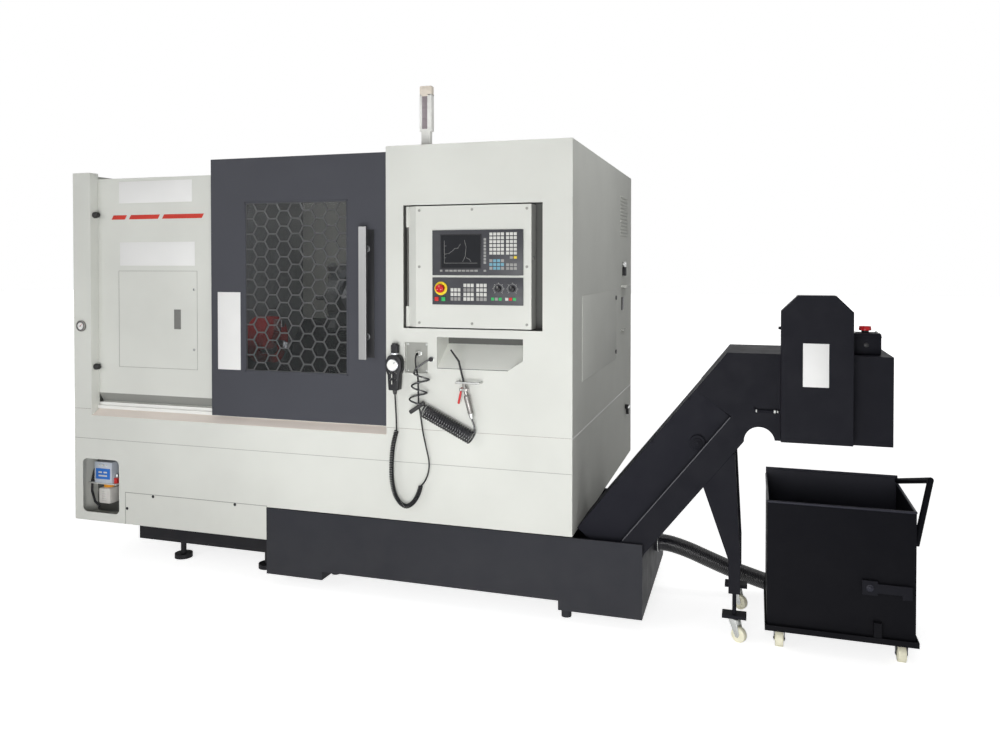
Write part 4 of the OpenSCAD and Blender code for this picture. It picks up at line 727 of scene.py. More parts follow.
class LATHE_OT_panel(bpy.types.Operator):
    """Builds the swinging panel's display unit, keys, knobs and stop button"""

    bl_idname = "lathe.panel"
    bl_label = "Control panel"

    def execute(self, context):
        soften("panel_box", "cover_paint", 2.0)
        self.unit()
        self.controls()
        self.screws()
        return {"FINISHED"}

    def screws(self):
        """Screws of the panel's front, and the lock in its side."""
        p = Piece()
        y, r = -3, 4.2
        for x in (-700, -450, -200):
            for z in (1272, 1775):
                p.bolt((x, y, z), FRONT, r)
        for x in (-700, -200):
            p.bolt((x, y, 1523), FRONT, r)
        p.rod((-181, 35, 1560), (-177, 35, 1560), 9, edge=1)
        p.done("panel_screws", "panel", "chrome_steel", "socket_plate")

    def unit(self):
        """Display unit with its screen, keys and dial marks, and the ring round the stop button."""
        p = Piece()
        x0, x1 = UNIT_X
        for z0, z1 in ((1485, 1685), (1355, 1475)):
            p.box((x0, -10, z0), (x1, -3, z1), 1.5, CASE)
        sx0, sx1, sz0, sz1 = x0 + 44, x0 + 226, 1519, 1662
        p.border((sx0 - 5, sx1 + 5, sz0 - 5, sz1 + 5), 5, -11.4, -9, 0.8, BLACK)
        p.box((sx0, -10.3, sz0), (sx1, -9.4, sz1), 0.0, GLASS)
        for path in SCREEN_LINES:
            ends = [(sx0 + x, -10.4, sz0 + z) for x, z in path]
            for a, b in zip(ends, ends[1:]):
                p.rod(a, b, 0.7, mat=GREY, sides=6)
        for x, *block in KEY_BLOCKS:
            keys(p, x0 + x, *block)
        for x, mat in ((x0 + 22, RED), (x0 + 54, GREEN)):
            p.box((x - 11, -11.4, 1369), (x + 11, -9.5, 1391), 1.2, BLACK)
            p.box((x - 9, -15, 1371), (x + 9, -11, 1389), 1.6, mat)
        for _, _, x in KNOBS:
            for k in range(19):
                p.tick((x, -10.3, CONTROLS_Z), -135 + 15 * k, 19, 27 if k % 3 == 0 else 23, 0.7, WHITE)
        obj = p.done("display_unit", "panel", "black_plastic", *UNIT_FINISHES)
        ring = Piece()
        c = Vector((STOP_X, -12, CONTROLS_Z))
        ring.hoop(c, (0, 1, 0), 21.5, 8.5, 0, 48)
        flat = Matrix.Translation(c) @ Matrix.Diagonal((1.0, 0.23, 1.0, 1.0)) @ Matrix.Translation(-c)
        bmesh.ops.transform(ring.bm, matrix=flat, verts=ring.bm.verts)
        ring.done("stop_ring", "panel", "red_plastic", "stop_yellow")
        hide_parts("operator_unit")

    def controls(self):
        """Stop button and the two knobs, each on its own body."""
        p = Piece()
        red, black, white = range(3)
        x, z = STOP_X, CONTROLS_Z
        p.rod((x, -20, z), (x, -16.6, z), 11, mat=black)
        p.rod((x, -35, z), (x, -19.2, z), 18.2, r_end=20, edge=1.4, mat=red)
        p.ball((x, -34.4, z), 18, red, (1, 0.14, 1))
        third = 2.0944
        for k in range(3):
            way = Vector((math.sin(third * k), 0, math.cos(third * k)))
            a, b = Vector((x, -36.7, z)) + way * 6, Vector((x, -36.1, z)) + way * 13
            p.rod(a, b, 1.0, mat=white, sides=8)
        stop = p.done("stop_mushroom", "stop_key", "red_plastic", "stop_red", "black_plastic", "key_white")
        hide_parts("estop_button")
        for node, body, x in KNOBS:
            k = Piece()
            k.rod((x, -13, z), (x, -10.3, z), 13.5, edge=0.8, mat=0, sides=40)
            k.rod((x, -26, z), (x, -12, z), 11, r_end=12.4, edge=1.2, mat=0, sides=40)
            k.box((x - 3, -30.4, z - 11.5), (x + 3, -20, z + 11.5), 1.2, 0)
            k.box((x - 0.8, -30.8, z + 2), (x + 0.8, -29, z + 11), 0.2, 1)
            obj = k.done(node + "_cap", body, "black_plastic", "black_plastic", "key_white")
            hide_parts(node)


# Fittings on the covers


class LATHE_OT_fittings(bpy.types.Operator):
    """Builds the signal lamp, gauge, oil unit, sockets, hand pendant and air gun"""

    bl_idname = "lathe.fittings"
    bl_label = "Fittings"

    def execute(self, context):
        self.lamp()
        self.gauge()
        self.oil_unit()
        self.sockets()
        self.pendant()
        self.gun()
        return {"FINISHED"}

    def lamp(self):
        """Signal lamp on the roof."""
        p = Piece()
        white, smoke, cap = range(3)
        x, y0, y1 = -712, 100, 134
        p.box((x - 25, y0 - 2, 2070), (x + 25, y1 + 2, 2074), 1.2, white)
        p.box((x - 22, y0 + 2, 2072), (x + 22, y1 - 2, 2150), 3, white)
        p.box((x - 30, y0, 2146), (x + 30, y1, 2158), 3, white)
        p.box((x + 8, y0, 2155), (x + 30, y1, 2318), 3, white)
        p.box((x - 30, y0, 2155), (x - 17, y1, 2318), 3, white)
        p.box((x - 24, y0 + 10, 2155), (x + 24, y1 - 2, 2318), 2, white)
        p.box((x - 30, y0, 2306), (x + 30, y1, 2355), 5, cap)
        for z in (2157, 2207, 2257):
            p.box((x - 17.5, y0 + 2, z), (x + 8.5, y1 - 6, z + 50), 0.5, smoke)
        obj = p.done("signal_tower", "machine", "lamp_plastic", "white_plastic", "lamp_smoke", "lamp_cap")
        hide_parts("signal_lamp")

    def gauge(self):
        """Pressure gauge on the left column."""
        p = Piece()
        rim, face, ink, needle = range(4)
        x, z = -2584, 1217
        p.rod((x, -9, z), (x, 0, z), 29, edge=2, mat=rim, sides=48)
        p.hoop((x, -9.4, z), (0, 1, 0), 26, 2.6, rim, 48)
        p.hoop((x, -9.2, z), (0, 1, 0), 21.6, 2.6, ink, 48)
        p.rod((x, -9.8, z), (x, -8, z), 22, mat=face, sides=48)
        for k in range(28):
            p.tick((x, -10, z), -135 + 10 * k, 14.5 if k % 3 == 0 else 17, 20, 0.5, ink)
        p.rod((x - 5, -10.8, z - 5), (x + 12, -10.8, z + 12), 0.7, mat=needle, sides=6)
        p.rod((x, -11.6, z), (x, -9.5, z), 3, edge=0.4, mat=ink)
        obj = p.done("gauge_dial", "machine", "chrome_steel", "gun_metal", "plate_white", "black_plastic", "stop_red")
        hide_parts("pressure_gauge")

    def oil_unit(self):
        """Oil pump with its jar in the lower cut-out, and its line."""
        p = Piece()
        case, face, cap, white, jar, red, zinc = range(7)
        x0, x1, y0, y1 = -2569, -2455, 60, 150
        p.box((x0, y0, 390), (x1, y1, 502), 5, case)
        p.box((x0 + 12, y0 - 2, 412), (x1 - 12, y0 + 1, 468), 1.5, face)
        for a, b, z in ((30, 52, 448), (62, 84, 448), (30, 84, 430)):
            p.box((x0 + a, y0 - 3, z - 4), (x0 + b, y0, z + 4), 1, white)
        for x in (x0 + 35, x0 + 57, x0 + 79):
            p.rod((x, y0 - 4, 485), (x, y0, 485), 5, edge=1, mat=white)
        p.box((-2606, y0 - 4, 386), (-2424, y1, 391), 1.2, white)
        mid, cap_y, cap_r, grips = (x0 + x1) / 2, 105, 25, 24
        p.rod((mid, cap_y, 362), (mid, cap_y, 387), cap_r, edge=2, mat=cap, sides=grips)
        for k in range(grips):
            w = 2 * math.pi * k / grips
            x, y = mid + cap_r * math.cos(w), cap_y + cap_r * math.sin(w)
            p.box((x - 1.2, y - 1.2, 364), (x + 1.2, y + 1.2, 384), 0.4, cap)
        p.box((mid - 38, 67, 280), (mid + 38, 143, 363), 10, jar)
        p.box((mid - 36, 69, 282), (mid + 36, 141, 318), 8, white)
        for z in range(296, 345, 12):
            p.box((mid - 12, 66.4, z), (mid + 12, 67.4, z + 2), 0.2, zinc)
        p.box((-2452, 70, 391), (-2434, 96, 420), 2, red)
        p.rod((-2443, 83, 418), (-2443, 83, 438), 7, edge=1, mat=zinc)
        obj = p.done(
            "oil_pump", "machine", "white_plastic", "pump_case", "pump_blue", "cap_orange", "key_white", "jar_clear",
            "key_red", "zinc_plate",
        )
        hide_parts("lube_unit")
        h = Piece()
        route = [
            (-2575, 100, 480), (-2592, 90, 450), (-2600, 80, 400), (-2592, 70, 340), (-2570, 66, 290), (-2540, 64, 268),
        ]
        for a, b in zip(route, route[1:]):
            h.rod(a, b, 6, mat=0, sides=14)
            h.ball(b, 6, 0)
        h.done("oil_line", "machine", "black_rubber", "cable_jacket")

    def sockets(self):
        """Socket plate with the pendant's connector, and the air fitting."""
        p = Piece()
        plate, black, zinc, white = range(4)
        p.box((-770, 11, 1046), (-664, 14.2, 1181), 1, plate)
        for x in (-762, -672):
            for z in (1054, 1173):
                p.bolt((x, 11, z), FRONT, 3.2, zinc)
        p.box((-716, 9.6, 1062), (-688, 12, 1118), 1.2, plate)
        x, z = -704, 1132
        p.rod((x, 12, z), (x, 5, z), 12.5, edge=1, mat=zinc, sides=6)
        p.rod((x, 6, z), (x, -22, z), 9, edge=1.6, mat=white)
        for y in (-4, -8, -12):
            p.hoop((x, y, z), (0, 1, 0), 8.8, 0.9, white)
        x, z = -640, 1110
        p.rod((x, 1, z), (x, -10, z), 13, edge=1, mat=zinc, sides=6)
        p.rod((x, -8, z), (x, -21, z), 10.2, edge=1, mat=black)
        p.done(
            "socket_set", "machine", "cover_paint", "socket_plate", "black_plastic", "zinc_plate", "white_plastic"
        )

    def pendant(self):
        """Hand pendant, and its jog wheel on a body of its own."""
        p = Piece()
        black, white, steel, rubber, red = range(5)
        x0, x1, y0, y1, mid = -846, -770, -52, -8, -808
        outline = [
            (mid - 24, 968), (mid + 24, 968), (mid + 26, 1000), (mid + 28, 1036),
            (x1 - 4, 1050), (x1, 1064), (x1, 1098), (x1 - 7, 1114),
            (mid + 22, 1126), (mid - 22, 1126), (x0 + 7, 1114), (x0, 1098),
            (x0, 1064), (x0 + 4, 1050), (mid - 28, 1036), (mid - 26, 1000),
        ]
        p.plate(outline, y0, y1, 5, black)
        p.box((mid - 17, y0 + 10, 1120), (mid + 17, y1 - 6, 1174), 6, black)
        y = y0 + 22
        p.rod((mid, y, 1128), (mid, y, 1136), 21, edge=1.2, mat=steel)
        p.rod((mid, y, 1166), (mid, y, 1178), 13, edge=1.5, mat=black)
        p.box((mid - 19, y1 - 2, 1058), (mid + 19, 0, 1120), 2, steel)
        p.rod((mid, y, 948), (mid, y, 970), 7, r_end=11, edge=1, mat=rubber)
        for z in (1036, 1006):
            p.rod((mid, y0, z), (mid, y0 - 4, z), 14, edge=1, mat=black)
            p.rod((mid, y0 - 3, z), (mid, y0 - 13, z), 9, r_end=8, edge=1.2, mat=black)
            p.box((mid - 2, y0 - 14, z - 8), (mid + 2, y0 - 6, z + 8), 0.8, white)
            for k in range(5):
                p.tick((mid, y0 - 0.4, z), -60 + 30 * k, 17, 20, 0.6, white)
        p.box((x0 - 2, y0 + 14, 1066), (x0 + 3, y1 - 12, 1104), 1.5, red)
        body = p.done(
            "hand_pendant", "machine", "black_plastic", "black_plastic", "key_white", "bright_steel", "black_rubber",
            "stop_red",
        )
        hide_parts("pendant_body")
        d = Piece()
        steel, _, white, zinc = range(4)
        z, marks = 1083, 50
        d.rod((mid, y0 - 9.3, z), (mid, y0 - 0.3, z), 26, r_end=27, edge=1.5, mat=steel, sides=64)
        d.rod((mid, y0 - 9.9, z), (mid, y0 - 9, z), 24.4, edge=0.3, mat=white, sides=48)
        for k in range(marks):
            d.tick((mid, y0 - 9.9, z), 360 * k / marks, 21.6, 23.6, 0.3, zinc, 4)
        d.rod((mid + 10, y0 - 13, z + 10), (mid + 10, y0 - 9, z + 10), 4.4, edge=1.2, mat=zinc)
        wheel = d.done(
            "jog_wheel_disc", "jog_wheel", "white_plastic", "bright_steel", "black_plastic", "white_plastic",
            "zinc_plate",
        )
        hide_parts("pendant_dial")

    def gun(self):
        """Air gun, and its lever on a body of its own."""
        finish_node("gun_hook", "zinc_plate")
        p = Piece()
        case, zinc, black = range(3)
        y = -35.7
        low, mid, top = Vector((-439, y, 858)), Vector((-463, y, 952)), Vector((-474, y, 1002))
        bend, tip = Vector((-500, y, 1108)), Vector((-538, y, 1158))
        way = (mid - low).normalized()
        p.rod(low, low + way * 24, 9, r_end=11, edge=1, mat=zinc)
        p.rod(low + way * 24, mid, 11.5, r_end=13, edge=1.5, mat=case)
        for k in range(5):
            p.hoop(low + way * (32 + 11 * k), way, 12.2, 1.6, case, 24)
        p.ball(mid, 13.2, case)
        p.rod(mid, top, 8, edge=1, mat=case)
        p.hoop(mid + (top - mid) * 0.55, top - mid, 8.2, 1.2, case, 24)
        p.rod(top, top + (bend - top).normalized() * 12, 8, edge=1, mat=case, sides=6)
        p.rod(top, bend, 4.6, mat=black)
        p.ball(bend, 4.6, black)
        p.rod(bend, tip, 4.6, r_end=3.4, mat=black)
        pin = Vector((-488, y, 985))
        for cheek in (y - 9.2, y + 9.2):
            p.box((pin.x - 6, cheek - 2.8, pin.z - 6), (-458, cheek + 2.8, pin.z + 6), 1.2, case)
        p.rod((pin.x, y - 12.5, pin.z), (pin.x, y + 12.5, pin.z), 3, edge=0.4, mat=zinc)
        gun = p.done("blow_gun", "machine", "chrome_steel", "gun_metal", "zinc_plate", "black_plastic")
        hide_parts("air_gun")
        t = Piece()
        turn = Matrix.Rotation(math.radians(12), 4, "Y")
        foot = pin + turn.to_3x3() @ Vector((0, 0, -66))
        t.box((pin.x - 4.5, pin.y - 6, pin.z - 37), (pin.x + 4.5, pin.y + 6, pin.z + 37), 3, 0, turn)
        bmesh.ops.translate(t.bm, vec=(foot - pin) * 0.43, verts=t.bm.verts)
        lever = t.done("blow_lever", "trigger", "red_plastic", "stop_red")
        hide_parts("gun_trigger")


# Tank, conveyor and cart


class LATHE_OT_conveyor(bpy.types.Operator):
    """Paints the tank and the chip conveyor and adds their fasteners, boss and box"""

    bl_idname = "lathe.conveyor"
    bl_label = "Tank and conveyor"

    def execute(self, context):
        soften("coolant_tank", "tank_paint", 1.8)
        soften("conveyor_casing", "conveyor_paint", 1.6)
        # The top cover gets the lighter copy of the conveyor paint: painted light
        soften("conveyor_cover", "conveyor_top_painted_light", 1.6)
        soften("chain_guard", "conveyor_paint", 1.8)
        soften("conveyor_legs", "conveyor_paint", 1.6)
        self.fasteners()
        self.box()
        self.plate()
        self.wheels()
        return {"FINISHED"}

    def fasteners(self):
        """Screws, a painted highlight along the casing's edge, a painted shadow line at the head's seam, bearing boss
        and tension rod of the conveyor.
        """
        p = Piece()
        paint, zinc, grey, seam = range(4)
        slope = math.radians(51.3)
        along = Vector((math.cos(slope), 0, math.sin(slope)))
        up = Vector((-math.sin(slope), 0, math.cos(slope)))
        knee = Vector((650, 20, 918))
        side_y = 60
        for s in (-60, -300, -540):
            c = knee + along * s + up * 168
            p.bolt((c.x, side_y, c.z), FRONT, 4, paint)
        # Grey rod along the lower edge of the casing's slope: painted highlight
        a, b = knee - along * 702, knee - along * 6
        p.rod((a.x, 20, a.z), (b.x, 20, b.z), 2.2, mat=grey, sides=12)
        # Dark line where the head's casing meets the sloped casing: painted shadow of the step
        a, b = knee - along * 8 + up * 6, knee - along * 8 + up * 172
        p.rod((a.x, side_y, a.z), (b.x, side_y, b.z), 2.4, mat=seam, sides=8)
        x, z = 516, 797
        p.rod((x, 46, z), (x, side_y, z), 32, edge=2.5, mat=paint)
        p.rod((x, 40, z), (x, 46, z), 20, edge=2, mat=paint)
        p.bolt((x, 40, z), FRONT, 9, paint)
        y, z = 8, 948
        p.rod((742, y, z), (836, y, z), 5, mat=paint)
        p.box((738, 0, z - 9), (745, 20, z + 9), 1, paint)
        for x0, x1, r in ((813, 823, 8), (826, 832, 6), (744, 750, 7)):
            p.rod((x0, y, z), (x1, y, z), r, edge=1, mat=zinc, sides=6)
        p.rod((829, 10, 1281), (838, 10, 1281), 6, edge=1, mat=paint)
        p.done(
            "conveyor_fasteners", "machine", "black_paint", "conveyor_paint", "zinc_plate", "edge_painted_highlight", "cart_paint"
        )

    def box(self):
        """Switch box with its stop button."""
        p = Piece()
        paint, black, zinc, white, red = range(5)
        x0, x1, y0, y1, z0, z1 = 1104, 1214, 80, 170, 1176, 1262
        p.box((x0, y0, z0), (x1, y1, z1), 6, paint)
        p.box((x0 - 1.5, y0 - 1.5, z1 - 16), (x1 + 1.5, y1 + 1.5, z1 - 12), 1, paint)
        for x in (x0 + 10, x1 - 10):
            for y in (y0 + 10, y1 - 10):
                p.bolt((x, y, z1), (0, 0, 1), 4, zinc)
        mid, gland_y, stop_y = x0 + 55, 118, 125
        p.rod((mid, y0 + 1, z0 + 40), (mid, y0 - 4, z0 + 40), 9, edge=1, mat=black)
        p.rod((x0, gland_y, z0 + 24), (x0 - 22, gland_y, z0 + 24), 12, edge=1.5, mat=white)
        p.rod((x0, gland_y, z0 + 58), (x0 - 18, gland_y, z0 + 58), 9, edge=1.5, mat=zinc)
        p.rod((mid, stop_y, z1 - 1), (mid, stop_y, z1 + 10), 14, edge=1, mat=black)
        p.rod((mid, stop_y, z1 + 9), (mid, stop_y, z1 + 26), 24, r_end=22, edge=2.5, mat=red)
        box = p.done(
            "conveyor_switch_box", "machine", "dark_paint", "conveyor_paint", "black_plastic", "zinc_plate",
            "key_white", "stop_red",
        )
        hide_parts("junction_box")

    def plate(self):
        """Bare plate on the chain guard."""
        p = Piece()
        p.box((918, -56.4, 1060), (1012, -55, 1228), 0.4)
        p.done("guard_plate", "machine", "white_plastic", "plate_white")

    def wheels(self):
        """Casters of the two legs; the first stands for both wheels of the CAD."""
        for y in (40, 380):
            p = Piece()
            build_caster(p, 665, y, 98, 31, 22, -30)
            obj = p.done("jack_caster_%d" % y, "machine", "cream_wheels", "zinc_plate", "wheel_cream")
            if y == 40:
                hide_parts("conveyor_casters")


def build_caster(p, x, y, top, r, lean, turn, half=12.0):
    """Swivel caster under a plate; its axle is turned from Y by an angle in degrees."""
    before = set(p.bm.verts)
    p.box((-r * 0.95, -r * 0.95, top - 3), (r * 0.95, r * 0.95, top), 0.8, 0)
    p.rod((0, 0, top - 10), (0, 0, top - 3), r * 0.62, edge=1, mat=0)
    for s in (-1, 1):
        y0 = s * (half + 3.5)
        points = [(-r * 0.6, top - 8), (r * 0.6, top - 8), (lean + 11, r + 3), (lean + 4, r - 9), (lean - 7, r - 7)]
        p.plate(points, y0 - 1.4, y0 + 1.4, 0.5, 0)
    p.rod((lean, -half - 7, r), (lean, half + 7, r), 5, edge=0.6, mat=0, sides=6)
    p.rod((lean, -half, r), (lean, half, r), r, edge=4, mat=1, sides=48)
    p.rod((lean, -half - 1.4, r), (lean, half + 1.4, r), r * 0.42, edge=1, mat=1)
    made = [v for v in p.bm.verts if v not in before]
    place = Matrix.Translation((x, y, 0)) @ Matrix.Rotation(math.radians(turn), 4, "Z")
    bmesh.ops.transform(p.bm, matrix=place, verts=made)


class LATHE_OT_cart(bpy.types.Operator):
    """Paints the chip cart and builds its rims, wheels and lever"""

    bl_idname = "lathe.cart"
    bl_label = "Chip cart"

    def execute(self, context):
        # The inner back wall of the bin gets the lighter copy: painted light
        soften("cart_bin", "cart_paint", 1.6, "bin_inside_painted_light", lambda c, n: c.y > 300 and n.y < -0.5)
        soften("cart_lever", "conveyor_paint", 1.6)
        p = Piece()
        for x in (839, 1286):
            for y in (41, 449):
                build_caster(p, x, y, 76, 32, 0, 90, 16.0)
        wheels = p.done("cart_wheels", "cart", "cream_wheels", "black_plastic", "wheel_cream")
        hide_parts("cart_casters")
        # Rims of the cart in lighter paint: painted highlight along its top edges
        t = Piece()
        low, high = 584, 612
        t.rod((791, 27, low), (1334, 27, low), 5, sides=16)
        for x in (793, 1332):
            t.rod((x, 27, low), (x, 484, low), 5, sides=16)
        t.rod((791, 480, high), (1334, 480, high), 6, sides=16)
        t.bolt((1169, 5, 285), FRONT, 9, height=7)
        t.done("cart_rims", "cart", "black_paint", "rim_painted_highlight")
        return {"FINISHED"}


# Work area


class LATHE_OT_insides(bpy.types.Operator):
    """Finishes the bed, drive, spindle, slides and feet"""

    bl_idname = "lathe.insides"
    bl_label = "Work area"

    def execute(self, context):
        for node in ("headstock", "carriage", "cross_slide", "tailstock"):
            soften(node, "grey_iron", 3.0)
        soften("base_casting", "dark_casting", 3.0)
        for node in ("spindle", "spindle_bearings", "motor_pulley", "quill"):
            finish_node(node, "turned_steel")
        finish_node("chuck_body", "chuck_red")
        for node in ("jaw_1", "jaw_2", "jaw_3"):
            soften(node, "bright_steel", 1.2)
        soften("turret_disc", "bright_steel", 2.0)
        finish_node("spindle_motor", "black_plastic")
        finish_node("drive_belt", "black_rubber")
        finish_node("levelling_feet", "dark_casting")
        return {"FINISHED"}


# Cords, with the routes of the solids in millimetres

CABLE_UPPER = [
    (-704, -23.4, 1132), (-704, -31, 1129), (-705.5, -36, 1110), (-706, -30, 1077), (-704, -12, 1020),
    (-703, -8, 914), (-696, -8, 875), (-690, -12, 845), (-674, -24, 779), (-657, -32, 721),
    (-643, -32, 657), (-646, -32, 608), (-662, -32, 568), (-684, -32, 541),
]
CABLE_CURL = [
    (-683, -32, 544), (-690, -32, 520), (-699, -32, 498), (-715, -32, 472), (-735, -32, 454),
    (-755, -32, 447), (-776, -32, 455), (-795, -32, 474), (-808, -32, 497), (-818, -32, 530),
    (-824, -32, 570), (-825, -32, 620), (-823, -32, 665), (-817, -32, 718), (-801, -32, 783),
]
CABLE_LOWER = [(-800, -32, 780), (-801, -31, 830), (-804, -30, 880), (-808, -30, 947)]
COIL = ((-667, -34.5, 883), (-440, -34.5, 773))
HOSE_TAIL = [
    (-430, -34.5, 795), (-427, -34.8, 812), (-430, -35.3, 830), (-436.53, -35.7, 848.31), (-438.93, -35.7, 857.71),
]
DRAIN = [
    (297.3, 470, 231), (322, 470, 231), (372, 473, 226), (450, 481, 203), (540, 496, 165), (630, 516, 126),
    (720, 540, 92), (800, 566, 62), (880, 590, 46), (960, 602, 40), (1040, 606, 40), (1100, 606, 40),
]


def hose_loops():
    """Route of the stretched loops between the fitting and the wound hose."""
    points = [(-640, -18, 1110), (-648, -24, 1107), (-672, -32, 1092), (-700, -38, 1070)]
    steps = 18
    for i in range(steps + 1):
        w = math.radians(180 + 360 * 2.25 * i / steps)
        points.append((-672 - 24 * i / steps + 38 * math.cos(w), -40 + 22 * math.sin(w), 1053 - 133 * i / steps))
    return points + [(-678, -58, 914), (-664, -46, 909), (-652, -35, 906)]


def smooth_route(points, fine=6):
    """Catmull-Rom points through a route, in the frame's metres."""
    route = [at(*p) for p in points]
    out = []
    for i in range(len(route) - 1):
        p0, p1 = route[max(i - 1, 0)], route[i]
        p2, p3 = route[i + 1], route[min(i + 2, len(route) - 1)]
        for k in range(fine):
            t = k / fine
            square = (2 * p0 - 5 * p1 + 4 * p2 - p3) * t * t
            cube = (3 * p1 - p0 - 3 * p2 + p3) * t ** 3
            out.append(0.5 * (2 * p1 + (p2 - p0) * t + square + cube))
    return out + [route[-1]]


def route_length(points):
    """Length in metres along points."""
    return sum((b - a).length for a, b in zip(points, points[1:]))


def line_cord(name, points, r, finish, fine=3):
    """Round cord as a curve of one open spline; points in metres, r in millimetres."""
    curve = bpy.data.curves.new(name, "CURVE")
    curve.dimensions = "3D"
    curve.bevel_depth = r * MM
    curve.bevel_resolution = fine
    curve.use_fill_caps = True
    spline = curve.splines.new("POLY")
    spline.points.add(len(points) - 1)
    for p, q in zip(spline.points, points):
        p.co = (*q, 1.0)
    curve.materials.append(FINISH[finish])
    obj = bpy.data.objects.new(name, curve)
    bpy.context.scene.collection.objects.link(obj)
    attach(obj, "machine")
    return obj


def wound_route(points, r, turns, per_turn=12):
    """Helix of radius r in millimetres about a smooth route in metres."""
    total = route_length(points)
    out = []
    samples = turns * per_turn
    lengths = [0.0]
    for a, b in zip(points, points[1:]):
        lengths.append(lengths[-1] + (b - a).length)
    k = 0
    for i in range(samples + 1):
        want = total * i / samples
        while k < len(points) - 2 and lengths[k + 1] < want:
            k += 1
        share = (want - lengths[k]) / max(lengths[k + 1] - lengths[k], 1e-9)
        c = points[k].lerp(points[k + 1], share)
        way = (points[min(k + 2, len(points) - 1)] - points[max(k - 1, 0)]).normalized()
        a = way.cross(Vector((0, 1, 0))).normalized()
        b = way.cross(a)
        w = 2 * math.pi * i / per_turn
        out.append(c + (a * math.cos(w) + b * math.sin(w)) * r * MM)
    return out


class LATHE_OT_cords(bpy.types.Operator):
    """Runs the pendant cable, the air hose and the drain hose"""

    bl_idname = "lathe.cords"
    bl_label = "Cords and hoses"

    def execute(self, context):
        self.pendant_cable()
        self.air_hose()
        self.drain()
        return {"FINISHED"}

    def pendant_cable(self):
        """Cable from the connector, down through the curl and up to the pendant."""
        upper = smooth_route(CABLE_UPPER)
        a = line_cord("pendant_cable_upper", upper, 3.5, "cable_jacket")
        curl = wound_route(smooth_route(CABLE_CURL), 8.0, 64)
        b = line_cord("pendant_cable_curl", curl, 3.0, "cable_jacket")
        lower = smooth_route(CABLE_LOWER)
        c = line_cord("pendant_cable_lower", lower, 3.5, "cable_jacket")
        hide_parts("pendant_cord")

    def air_hose(self):
        """Hose from the fitting through its loops and coil to the gun."""
        loops = smooth_route(hose_loops())
        a = line_cord("air_hose_loops", loops, 4.0, "hose_gloss")
        start, end = at(*COIL[0]), at(*COIL[1])
        wound = wound_route([start.lerp(end, k / 20) for k in range(21)], 27.0, trim().coil_turns, 16)
        b = line_cord("air_hose_coil", wound, 4.0, "hose_gloss")
        tail = smooth_route(HOSE_TAIL)
        c = line_cord("air_hose_tail", tail, 4.0, "hose_gloss")
        sleeve = Piece()
        sleeve.rod((-728, -44, 873), (-661, -44, 919), 9.5, edge=2, mat=0)
        sleeve.done("hose_sleeve", "machine", "black_rubber", "black_rubber")
        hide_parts("air_hose")

    def drain(self):
        """Ribbed hose from the tank to a cuff on the floor."""
        route = smooth_route(DRAIN, 3)
        core = line_cord("drain_hose_bore", route, 36.0, "black_rubber", 6)
        ribs = Piece()
        walk = smooth_route(DRAIN, 12)
        for i in range(2, len(walk) - 2):
            ribs.hoop(from_corner(walk[i]), walk[i + 1] - walk[i - 1], 35.5, 2.4, 0, 28)
        ribs_obj = ribs.done("drain_hose_ribs", "machine", "black_rubber", "hose_gloss")
        cuff = Piece()
        cuff.rod((1070, 606, 42), (1130, 606, 42), 41, edge=3, mat=0, sides=40)
        cuff.rod((1128, 606, 42), (1131, 606, 42), 30, mat=1, sides=40)
        for x in (1082, 1114):
            cuff.hoop((x, 606, 42), (1, 0, 0), 41, 2, 1, 40)
        cuff_obj = cuff.done("drain_cuff", "machine", "black_rubber", "black_rubber", "black_plastic")
        collar = Piece()
        collar.rod((297, 470, 231), (320, 470, 231), 42, edge=2, mat=0, sides=40)
        collar.hoop((312, 470, 231), (1, 0, 0), 42, 2.4, 1, 40)
        collar.done("drain_collar", "machine", "black_rubber", "tank_paint", "zinc_plate")
        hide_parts("drain_hose")


# Stage

# Place of the photo's camera
CAMERA_AT = (737.8, -3438.7, 1527.5)
# Round lights: name, place, target, size in metres and power in watts
LIGHTS = (
    ("key", (200, -3400, 600), (-1500, 0, 900), 2.0, 112),
    ("fill", (-4300, -4600, 3000), (-1600, 0, 1400), 2.2, 44),
    ("side", (1200, 300, 3100), (0, 900, 2000), 0.5, 10),
    ("window_glow", (-3810, -4600, 1890), (-1210, 0, 1690), 0.74, 6),
    ("top", (-1000, 300, 5200), (-1000, 300, 0), 4.5, 24),
    ("work_lamp", (-1350, 240, 1960), (-1500, 330, 1250), 0.3, 5.5),
)
# Strength of the world's light on dull faces, and where it is seen
WORLD_DULL, WORLD_SEEN = 0.18, 1.0
# The floor's glow rises from the first strength to the second between two distances in metres
FLOOR_GLOW = (0.76, 1.0, 2.6, 6.0)


def shown_rays(tree):
    """One for rays from the camera, from a glossy face or through glass, and zero for the light on dull faces."""
    paths = tree.nodes.new("ShaderNodeLightPath")
    total = paths.outputs["Is Camera Ray"]
    for key in ("Is Glossy Ray", "Is Transmission Ray"):
        node = tree.nodes.new("ShaderNodeMath")
        node.operation = "MAXIMUM"
        tree.links.new(total, node.inputs[0])
        tree.links.new(paths.outputs[key], node.inputs[1])
        total = node.outputs[0]
    return total


